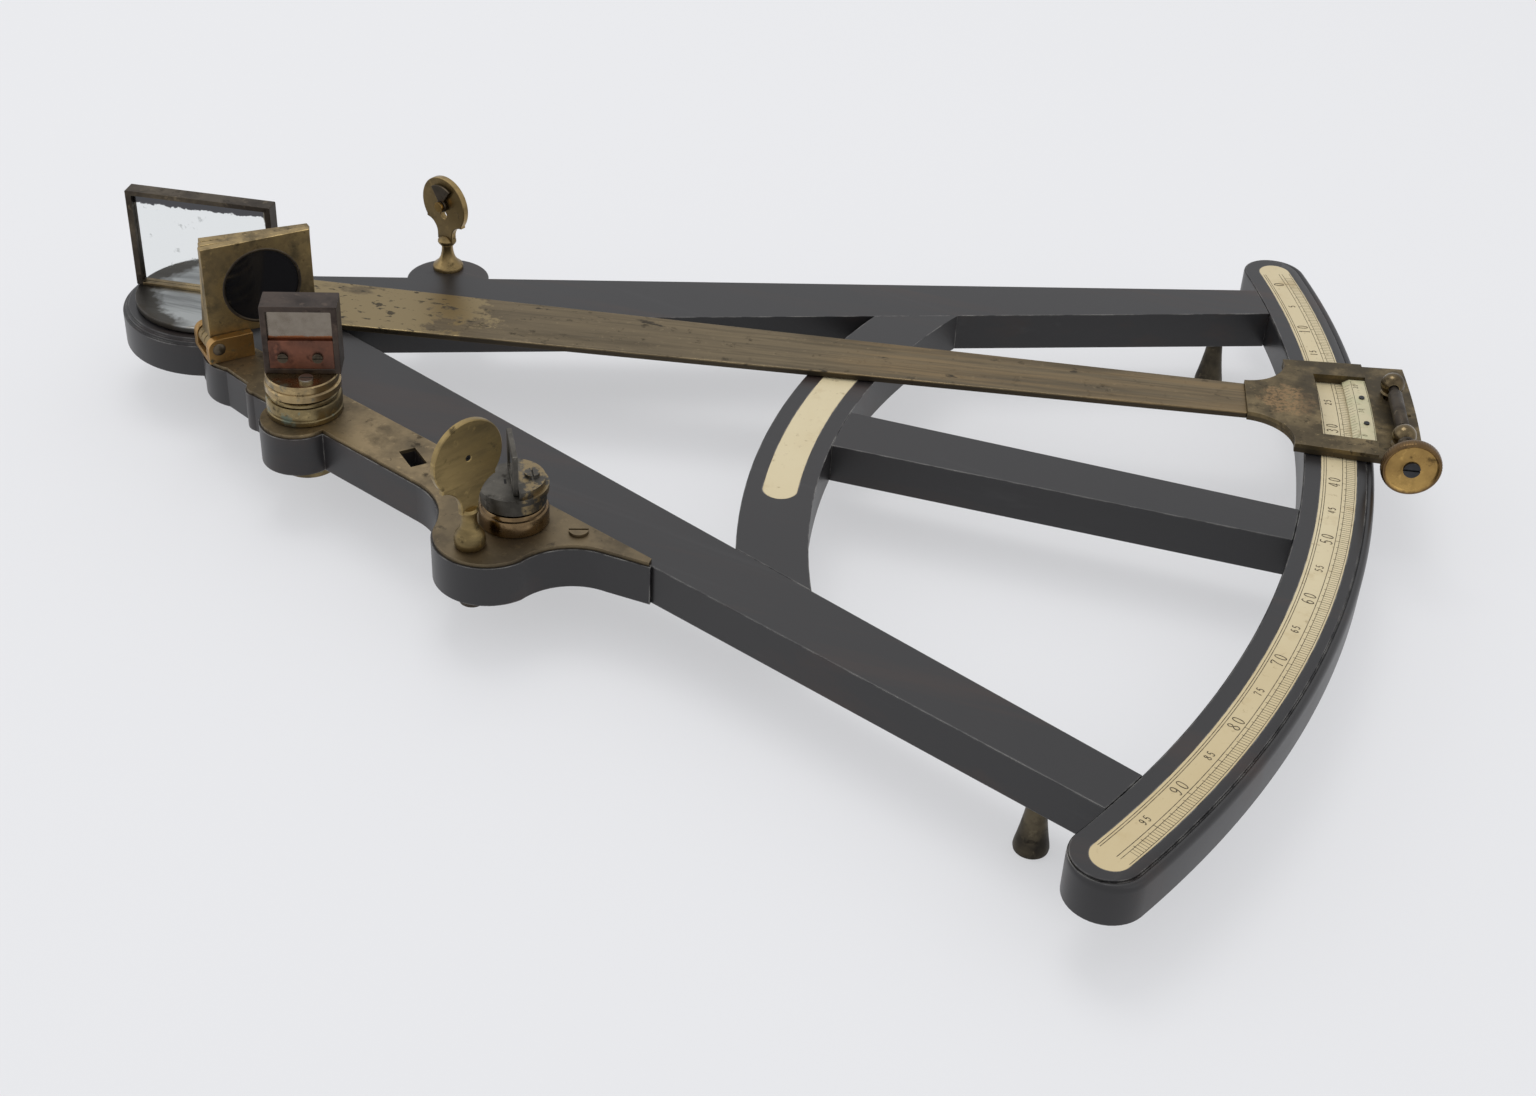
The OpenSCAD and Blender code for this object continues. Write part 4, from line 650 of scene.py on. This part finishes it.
def arc_loop(r0, r1, along=90, round_end=22):
    """Points of a closed loop between two radii, with round ends, always in the same order."""
    steps = [2 * ARC_HALF * k / along for k in range(along)]
    def cap(start, degrees):
        middle, w, turn = (r0 + r1) / 2, (r1 - r0) / 2, math.radians(degrees)
        halfway = [start + math.pi * k / round_end for k in range(round_end)]
        flat = [(middle + w * math.cos(a), w * math.sin(a)) for a in halfway]
        return [(x * math.cos(turn) - y * math.sin(turn), x * math.sin(turn) + y * math.cos(turn)) for x, y in flat]
    outer = [polar(r1, -ARC_HALF + step) for step in steps]
    inner = [polar(r0, ARC_HALF - step) for step in steps]
    return outer + cap(0, ARC_HALF) + inner + cap(math.pi, -ARC_HALF)

# How far each level draws in from the inner and the outer edge, and its height.
MOULDING = [(0.5, 0.5, 18.5), (0.0, 0.0, 19.0), (0.0, 0.0, 29.4), (0.0, 0.12, 30.1), (0.0, 0.45, 30.75),
    (0.05, 0.95, 31.15), (0.08, 1.45, 31.3), (0.1, 1.95, 31.2), (0.13, 2.3, 30.95), (0.16, 2.45, 30.8),
    (0.2, 2.7, 30.8), (0.25, 2.8, 31.4), (0.35, 2.95, DECK)]
levels = [(arc_loop(ARC_IN + a, ARC_OUT - b), z) for a, b, z in MOULDING]
levels += [(arc_loop(RECESS_IN, RECESS_OUT), z) for z in (DECK, RECESS_FLOOR)]
bm = bmesh.new()
bridge(bm, [[bm.verts.new((x, y, z)) for x, y in points] for points, z in levels])
arc_body = piece("arc_body", bm, EBONY, "frame")
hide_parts("arc_limb")
print("arc body", len(arc_body.data.polygons))

# %% [markdown]
# ## The divided scale
# The ivory arc is divided to thirds of a degree, and every fifth degree is numbered. Because a mirror doubles the
# angle, each degree of the reading takes only half a degree of the arc. The lines are thin strips laid on the ivory,
# so they stay sharp at any distance, where a texture would blur. The figures are drawn with single strokes, as a graver
# cuts them.

# %% Scale lines and ticks
ZERO_AT = 24.32  # degrees from X where the reading is 0
INK_LOW, INK_HIGH = -0.02, 0.025  # how far an inked strip goes into the ivory and stands over it
RULED = ((368.25, 0.2), (368.95, 0.2), (373.95, 0.2), (375.1, 0.16), (377.75, 0.16))  # radius and width
FIFTHS, WHOLES, THIRDS, TICK_TOP = 373.95, 374.55, 375.1, 377.75  # where the ticks of each kind start, and all end

def arc_strip(bm, r, width, a0, a1, z, steps=160, matrix=Matrix()):
    """An engraved line along an arc, as a thin closed strip."""
    rings = []
    for k in range(steps + 1):
        a = a0 + (a1 - a0) * k / steps
        (xi, yi), (xo, yo) = polar(r - width / 2, a), polar(r + width / 2, a)
        z0, z1 = z + INK_LOW, z + INK_HIGH
        corners = ((xi, yi, z0), (xo, yo, z0), (xo, yo, z1), (xi, yi, z1))
        rings.append([bm.verts.new(matrix @ Vector(corner)) for corner in corners])
    bridge(bm, rings)

def at_reading(reading):
    """Degrees from X at which the scale shows a reading."""
    return ZERO_AT - reading / 2

bm = bmesh.new()
for r, width in RULED:
    arc_strip(bm, r, width, -25.6, 25.5, DECK)
for k in range(-4, 297):
    whole = k % 3 == 0
    start = FIFTHS if k % 15 == 0 else WHOLES if whole else THIRDS
    half = 0.085 if whole else 0.065
    prism(bm, oblong(start, TICK_TOP, -half, half), DECK + INK_LOW, DECK + INK_HIGH, spun(at_reading(k / 3)))
scale_lines = piece("scale_lines", bm, INK, "frame")
print("scale lines", len(scale_lines.data.vertices))

# %% Scale figures
STROKES = {
    "0": [[(30, 100), (12, 90), (4, 68), (3, 38), (10, 12), (28, 0), (46, 10), (55, 34), (56, 64), (48, 90),
        (30, 100)]],
    "1": [[(14, 82), (26, 92), (31, 100), (31, 0)], [(18, 0), (44, 0)]],
    "2": [[(6, 76), (10, 92), (28, 100), (47, 93), (53, 74), (43, 50), (20, 22), (4, 3), (30, 6), (57, 1), (58, 12)]],
    "3": [[(8, 86), (20, 98), (38, 99), (50, 86), (46, 66), (26, 55), (46, 46), (56, 27), (46, 8), (26, 0), (8, 6),
        (4, 18)]],
    "4": [[(44, 0), (44, 100), (2, 30), (60, 30)]],
    "5": [[(54, 100), (16, 98), (11, 56), (30, 63), (48, 54), (55, 32), (46, 9), (26, 0), (8, 5), (4, 16)]],
    "6": [[(52, 92), (36, 100), (16, 84), (5, 50), (8, 18), (26, 0), (46, 8), (55, 28), (46, 50), (28, 56), (8, 40)]],
    "7": [[(4, 86), (6, 98), (56, 98), (32, 50), (22, 0)]],
    "8": [[(29, 54), (11, 68), (10, 88), (29, 100), (47, 88), (46, 68), (29, 54), (6, 36), (4, 13), (29, 0), (54, 13),
        (51, 36), (29, 54)]],
    "9": [[(8, 8), (24, 0), (43, 16), (54, 50), (51, 82), (33, 100), (12, 92), (4, 72), (12, 50), (31, 44), (51, 60)]],
}
SPACE, SLANT, NARROW = 0.9, 0.06, 0.76  # from figure to figure, lean and width, in parts of the height

def eased(points, between=4):
    """A smooth path through the points (Catmull-Rom), so that a few numbers draw a round figure."""
    full = [points[0]] + list(points) + [points[-1]]
    path = []
    for a, b, c, d in zip(full, full[1:], full[2:], full[3:]):
        for k in range(between):
            t = k / between
            path.append(tuple(0.5 * (2 * q + (r - p) * t + (2 * p - 5 * q + 4 * r - s) * t * t
                + (3 * q - p - 3 * r + s) * t ** 3) for p, q, r, s in zip(a, b, c, d)))
    return path + [points[-1]]

def figure(words, height, matrix):
    """Paths for the figures of a number, centred on the matrix's origin with its X to the right."""
    paths = []
    for i, sign in enumerate(words):
        shift = (i - (len(words) - 1) / 2) * SPACE * 100
        for stroke in STROKES[sign]:
            flat = [((x - 30) * NARROW + shift + SLANT * (y - 50), y - 50) for x, y in eased(stroke)]
            paths.append([matrix @ Vector((x * height / 100, y * height / 100, 0)) for x, y in flat])
    return paths

def trace(data, path, closed):
    """One spline of a curve, straight from point to point."""
    spline = data.splines.new("POLY")
    spline.use_cyclic_u = closed
    spline.points.add(len(path) - 1)
    for point, place in zip(spline.points, path):
        point.co = (*place, 1)

def add_curve(bm, data, matrix=Matrix()):
    """Adds a curve's surface to the mesh that is being built, and removes the curve."""
    maker = bpy.data.objects.new("maker", data)
    scene.collection.objects.link(maker)
    bpy.context.view_layer.update()
    mesh = maker.evaluated_get(bpy.context.evaluated_depsgraph_get()).to_mesh()
    mesh.transform(matrix)
    bm.from_mesh(mesh)
    bpy.data.objects.remove(maker)
    bpy.data.curves.remove(data)

def drawn(bm, paths, radius):
    """Engraved strokes: each path becomes a thin round line, closed at its ends."""
    data = bpy.data.curves.new("strokes", "CURVE")
    data.dimensions, data.bevel_depth, data.bevel_resolution, data.use_fill_caps = "3D", radius, 0, True
    for path in paths:
        trace(data, path, False)
    add_curve(bm, data)

bm = bmesh.new()
for reading in range(0, 100, 5):
    tall, stroke = (3.4, 0.16) if reading % 10 == 0 else (2.1, 0.14)
    facing = at(*polar(371.5, at_reading(reading)), DECK) @ spun(at_reading(reading) + 90)
    drawn(bm, figure(str(reading), tall, facing), stroke)
scale_figures = piece("scale_figures", bm, INK, "frame")
print("scale figures", len(scale_figures.data.vertices))

# %% [markdown]
# ## The vernier
# The short ivory plate in the arm's window has its own divisions on a bevelled edge that lies against the scale.
# The bevel slopes, so each tick is a thin prism laid in the slope's own plane.

# %% Vernier divisions
ARM_TURN = Matrix.Rotation(ARM_DIR, 4, "Z")
VERNIER_LOW, VERNIER_TOP = DECK + 0.9, DECK + 2.2  # the bevel's foot and the flat above it
VERNIER_IN, DIVISION = 377.4, 0.245  # radius of the bevel's foot, and degrees from line to line
slope = Matrix.Rotation(-math.atan2(VERNIER_TOP - VERNIER_LOW, 2.0), 4, "Y")
bm = bmesh.new()
for k in range(-10, 11):
    turn = ARM_TURN @ spun(k * DIVISION) @ at(VERNIER_IN, 0, VERNIER_LOW) @ slope
    prism(bm, oblong(0.05, 2.3 if k % 5 == 0 else 1.7, -0.06, 0.06), -0.02, 0.03, turn)
for r in (379.75, 384.2):
    arc_strip(bm, r, 0.16, -2.8, 2.8, VERNIER_TOP, 40, ARM_TURN)
for k, words in ((-10, "0"), (0, "10"), (10, "20")):
    facing = ARM_TURN @ at(*polar(381.0, k * DIVISION * 0.94), VERNIER_TOP) @ spun(90)
    drawn(bm, figure(words, 1.5, facing), 0.09)
vernier_lines = piece("vernier_lines", bm, INK, "index_arm")
print("vernier lines", len(vernier_lines.data.vertices))

# %% [markdown]
# ## The tangent knob
# The knob is turned: a dished face inside a rounded rim, on a short neck, with a milled edge for the fingers.
# A profile swept round the axis gives it, and a ripple in the radius makes the milling.

# %% Knob
SCREW_OUT, SCREW_UP = 391.5, 6.3  # the screw's axis: how far from the pivot, and how high over the deck
MILLING, TEETH = 0.12, 60
SCREW = ARM_TURN @ at(SCREW_OUT, 0, DECK + SCREW_UP) @ UPRIGHT
profile = [(0, 0), (4.2, 0), (4.5, 0.35), (8.5, 0.5), (9.0, 0.9), (9.22, 1.3), (9.25, 2.2), (9.22, 3.2), (9.0, 3.7),
    (8.6, 3.95), (8.2, 3.9), (7.9, 3.55), (7.6, 3.3), (4.0, 3.1), (3.0, 3.35), (2.75, 3.45), (0, 3.45)]
bm = bmesh.new()
turned(bm, profile, SCREW @ at(0, 0, 36), 4 * TEETH,
    lambda a, r: -MILLING * (0.5 + 0.5 * math.cos(TEETH * a)) if r > 9.1 else 0)
knob = piece("milled_knob", bm, GOLD_BRASS, "tangent_screw")
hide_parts("tangent_knob")
print("knob", len(knob.data.polygons))

# %% [markdown]
# ## The tangent screw
# The screw turns in two round bearings: one fixed on the arm, one on the clamp's post. Each bearing is a ball with a
# fine bore, on a short turned stem. The screw is thin where it passes through them and thicker between.

# %% Screw and bearings
bm = bmesh.new()
turned(bm, [(0, -17.8), (1.1, -17.8), (1.3, -17.5), (1.3, -5.6), (2.0, -5.4), (2.25, -5.0), (2.25, 15.3), (2.0, 15.7),
    (1.3, 15.8), (1.3, 24.2), (2.3, 24.3), (2.6, 24.7), (2.6, 25.5), (2.2, 25.9), (2.0, 33.5), (2.9, 34.3), (3.3, 35.2),
    (3.3, 36), (0, 36)], SCREW, 48)
rod = piece("screw_turned", bm, DARK_BRASS, "tangent_screw")
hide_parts("tangent_rod")
BALL_R = 3.8

def bearing(name, node_name, along, stem, bore, body):
    """A bored ball on the screw's axis and its upright stem."""
    bm = bmesh.new()
    start = math.asin(bore / BALL_R)
    angles = [start + (math.pi - 2 * start) * k / 28 for k in range(29)]
    ball = [(BALL_R * math.sin(a), -BALL_R * math.cos(a)) for a in angles]
    turned(bm, ball, SCREW @ at(0, 0, along), 64, loop=True)
    turned(bm, stem, ARM_TURN @ at(SCREW_OUT, -along, DECK), 64)
    made = piece(name, bm, BALL_BRASS, body)
    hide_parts(node_name)

bearing("arm_ball", "screw_bearing", 20,
    [(0, 2.5), (3.5, 2.5), (3.55, 3.1), (3.3, 3.5), (2.9, 3.7), (2.6, 4.2), (0, 4.2)], 1.35, "index_arm")
bearing("clamp_ball", "clamp_post", -12,
    [(0, -13.4), (2.2, -13.4), (2.2, 2.9), (3.2, 2.95), (3.3, 3.3), (2.6, 4.0), (0, 4.0)], 1.7, "clamp")
print("screw and bearings made")

# %% [markdown]
# ## The sights
# Both sights are turned posts that carry a flat vane. The post is a profile swept round its axis, down to the stud
# that passes through the wood. Each vane is sawn to a round outline with hollow shoulders, so it is drawn as a flat
# plate with its holes: a pinhole in the near one, and a hole and the shutter's pin in the far one.

# %% Near sight
def plate(bm, outlines, half, matrix, edge):
    """A flat plate with holes: outlines are closed loops, half is half its thickness, and its edges are rounded."""
    data = bpy.data.curves.new("plate", "CURVE")
    data.dimensions, data.fill_mode = "2D", "BOTH"
    data.extrude, data.bevel_depth, data.bevel_resolution, data.offset = half - edge, edge, 0, -edge
    for outline in outlines:
        trace(data, [(x, y, 0) for x, y in outline], True)
    add_curve(bm, data, matrix)

def ring_points(x, y, r, a0=0, a1=360, count=48):
    """Points on a circle or part of one, in degrees."""
    full = abs(a1 - a0) == 360
    spread = [a0 + (a1 - a0) * k / (count if full else count - 1) for k in range(count)]
    return [(x + r * math.cos(math.radians(a)), y + r * math.sin(math.radians(a))) for a in spread]

def vane_outline(r, z, neck_hw, neck_z, hollow_r):
    """A sawn vane's outline: the neck, hollow shoulders and the round head of radius r about height z."""
    hollow_z = neck_z + neck_hw / 2
    corner_z = hollow_z + hollow_r + 1
    corner = math.sqrt(r * r - (z - corner_z) ** 2)
    low = math.degrees(math.asin((corner_z - z) / r))
    side = [(x, y) for x, y in ring_points(neck_hw + hollow_r, hollow_z, hollow_r, 180, 92, 12) if x < corner]
    side = [(neck_hw, neck_z - 0.6)] + side + [(corner, side[-1][1] + 0.1)]
    return side + ring_points(0, z, r, low, 180 - low, 64) + [(-x, y) for x, y in side[::-1]]

PLATE_TOP = DECK + 1.2
NEAR_X, NEAR_Y, PINHOLE_UP = 140.2, -102, 30.9
bm = bmesh.new()
turned(bm, [(0, -20.2), (1.6, -20.2), (2, -19.8), (2, 0.05), (4.0, 0.05), (4.45, 0.8), (4.6, 2.4), (4.25, 4.2),
    (3.3, 5.6), (2.6, 6.7), (2.3, 8.2), (2.3, 10.6), (2.6, 11.4), (2.75, 12.1), (2.3, 12.9), (0, 13.1)],
    at(NEAR_X, NEAR_Y, PLATE_TOP), 64)
face = at(NEAR_X, NEAR_Y, DECK) @ spun(62) @ UPRIGHT
plate(bm, [vane_outline(11.8, PINHOLE_UP, 3.0, 13.5, 7.5), ring_points(0, PINHOLE_UP, 0.8, count=20)], 1.0, face, 0.3)
# A black sleeve inside the near pinhole: painted shade in the hole.
pinhole = bmesh.new()
turned(pinhole, [(0.5, -0.85), (0.82, -0.85), (0.82, 0.85), (0.5, 0.85)], face @ at(0, PINHOLE_UP), 24, loop=True)
piece("near_pinhole_shade", pinhole, PAINTED_SHADE, "frame")
near = piece("near_vane", bm, SIGHT_BRASS, "frame")
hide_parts("near_sight")
print("near sight", len(near.data.polygons))

# %% Far sight
FAR, HOLE_UP, PIN_UP = at(62.3, 49.8, DECK), 20.4, 24.1
bm = bmesh.new()
turned(bm, [(0, -19), (1.6, -19), (2, -18.6), (2, 0.02), (5.2, 0.02), (5.25, 0.9), (4.9, 1.5), (4.2, 1.85), (3.9, 2.3),
    (3.2, 3.1), (2.5, 4.4), (2.05, 6.2), (1.9, 8.0), (2.0, 8.7), (2.4, 8.95), (2.35, 9.25), (2.9, 9.55), (3.2, 10.1),
    (3.15, 10.7), (2.7, 11.2), (2.2, 11.6), (1.5, 12.2), (0, 12.4)], FAR, 64)
holes = [ring_points(0, HOLE_UP, 1.4, count=24), ring_points(0, PIN_UP, 1.02, count=20)]
plate(bm, [vane_outline(9.9, PIN_UP, 3.4, 11.2, 4.6)] + holes, 1.1, FAR @ spun(-20) @ UPRIGHT, 0.2)
far = piece("far_vane", bm, FAR_BRASS, "frame")
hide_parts("far_sight")
print("far sight", len(far.data.polygons))

# %% [markdown]
# ## Turned stands and feet
# The horizon mirrors stand on turned drums and stepped tables with small grooves, and the frame on tapered feet.
# Only the half profile matters for each, so each is one list of radius and height.

# %% Drums, table and feet
def turned_piece(name, node_name, profile, place, finish, body, loop=False):
    """A turned piece that stands for a solid; a loop has a bore."""
    bm = bmesh.new()
    turned(bm, profile, place, loop=loop)
    made = piece(name, bm, finish, body)
    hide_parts(node_name)

FORE_X, FORE_Y = 62.5, -54
FORE, BACK = at(FORE_X, FORE_Y, DECK), at(146.5, -85.4, DECK)
turned_piece("fore_drum_turned", "fore_drum", [(3.05, 1.2), (11.4, 1.2), (11.7, 1.5), (11.7, 2.9), (11.35, 3.2),
    (11.35, 3.5), (11.7, 3.8), (11.7, 6.9), (11.4, 7.4), (10.8, 7.6), (10.7, 8.3), (10.4, 8.6), (3.05, 8.6)],
    FORE, STAND_BRASS, "frame", True)
turned_piece("fore_table_turned", "fore_table", [(0, -19), (2.7, -19), (3, -18.7), (3, 8.63), (6, 8.63), (6, 9.6),
    (11.4, 9.6), (11.7, 9.9), (11.7, 11.8), (11.45, 12.15), (11.05, 12.3), (11.05, 12.5), (11.2, 12.7), (11.2, 14.6),
    (10.9, 15), (0, 15)], FORE, TABLE_BRASS, "fore_stand")
turned_piece("back_drum_turned", "back_drum", [(3.05, 1.2), (9.95, 1.2), (10.2, 1.45), (10.2, 5.7), (9.95, 6.2),
    (9.4, 6.45), (9.25, 7.2), (9.0, 7.5), (3.05, 7.5)], BACK, DRUM_BRASS, "frame", True)
foot = [(0, 0), (4.2, 0), (4.75, 0.4), (4.9, 1.2), (4.75, 2.4), (4.3, 4.6), (3.7, 8.0), (3.1, 12.0), (2.7, 15.5),
    (2.5, 18.5), (0, 18.5)]
for name, x, y in (("far_foot", 321.6, 129.678), ("near_foot", 313.3, -131.86)):
    turned_piece(name + "_turned", name, foot, at(x, y), FOOT_BRASS, "frame")
turned_piece("near_nut_turned", "near_sight_nut", [(2.05, 12.8), (3.2, 12.8), (3.8, 13.3), (4, 14.2), (4, 18.5),
    (2.05, 18.5)], at(NEAR_X, NEAR_Y), DARK_BRASS, "frame", True)
turned_piece("fore_nut_turned", "fore_nut", [(3.03, 12.4), (8.5, 12.4), (9.0, 12.8), (9.2, 13.6), (9.2, 18.1),
    (8.9, 18.45), (3.03, 18.45)], at(FORE_X, FORE_Y), STAND_BRASS, "fore_stand", True)
turned_piece("apex_foot_turned", "apex_foot", [(0, 0), (6.2, 0), (6.8, 0.5), (7, 1.5), (7.1, 4.6), (8.2, 6.4),
    (10, 8.6), (11.8, 12.2), (13, 16.4), (13, 18.5), (10.5, 18.5), (10.5, 14.5), (8.4, 10.2), (7.8, 7.6), (0, 7.5)],
    at(0, 0), FOOT_BRASS, "frame")
bm = bmesh.new()
turned(bm, [(0, 14.6), (1.2, 14.7), (1.9, 15.2), (2.2, 16), (2.2, 18.5), (0, 18.5)], at(192.4, -85.6), 40)
piece("plate_rivet", bm, DARK_BRASS, "frame")
print("turned stands made")

# %% [markdown]
# ## Small fittings
# A ring holds each outer shade glass, rivets close the fork's pin, a ledge carries the index glass, and a thin
# black sheet, painted shade, stands for the slot where the back table's adjusting key goes in. Each is made where its
# solid neighbour says.

# %% Rings, rivets, ledge and slot
PIN_X, PIN_Y = -6.4, 6  # the shades' pin, in the plane of the front shade
SHADES = at(26.5, -32.5, DECK) @ spun(48) @ UPRIGHT
LEANT = SHADES @ at(PIN_X, PIN_Y) @ spun(-3.6)
ring = [(12.0, -0.45), (12.05, 0.02), (12.3, 0.14), (12.65, 0.14), (12.9, 0.02), (12.95, -0.45)]
for name, place, body in (("front_ring", SHADES @ at(10.55, 23.6), "shade_front"),
        ("back_ring", LEANT @ at(16.95, 17.6, -8.6) @ FLIPPED, "shade_back")):
    bm = bmesh.new()
    turned(bm, ring, place, loop=True)
    piece(name, bm, DARK_BRASS, body)
dome = [(0, -0.3), (2.0, -0.3), (2.1, 0.1), (1.9, 0.5), (1.4, 0.85), (0.7, 1.05), (0, 1.1)]
bm = bmesh.new()
for place in (at(PIN_X, PIN_Y, 3.3), at(PIN_X, PIN_Y, -11.9) @ FLIPPED):
    turned(bm, dome, SHADES @ place, 48)
piece("fork_rivets", bm, DARK_BRASS, "shade_bracket")
bm = bmesh.new()
prism(bm, oblong(-24.4, 21.2, -2.74, -1.05), 0.02, 1.05, at(0, 0, DECK + 2.5) @ Matrix.Rotation(MIRROR_DIR, 4, "Z"))
piece("index_ledge", bm, TABLE_BRASS, "index_arm", 0.15)
# A thin black sheet laid on the back table: painted shade standing for its slot.
bm = bmesh.new()
prism(bm, oblong(-0.6, 1.8, 1.9, 2.6), 13.9, 14.03, BACK @ spun(120))
piece("painted_slot_shade", bm, PAINTED_SHADE, "back_stand", 0.05)
print("fittings made")
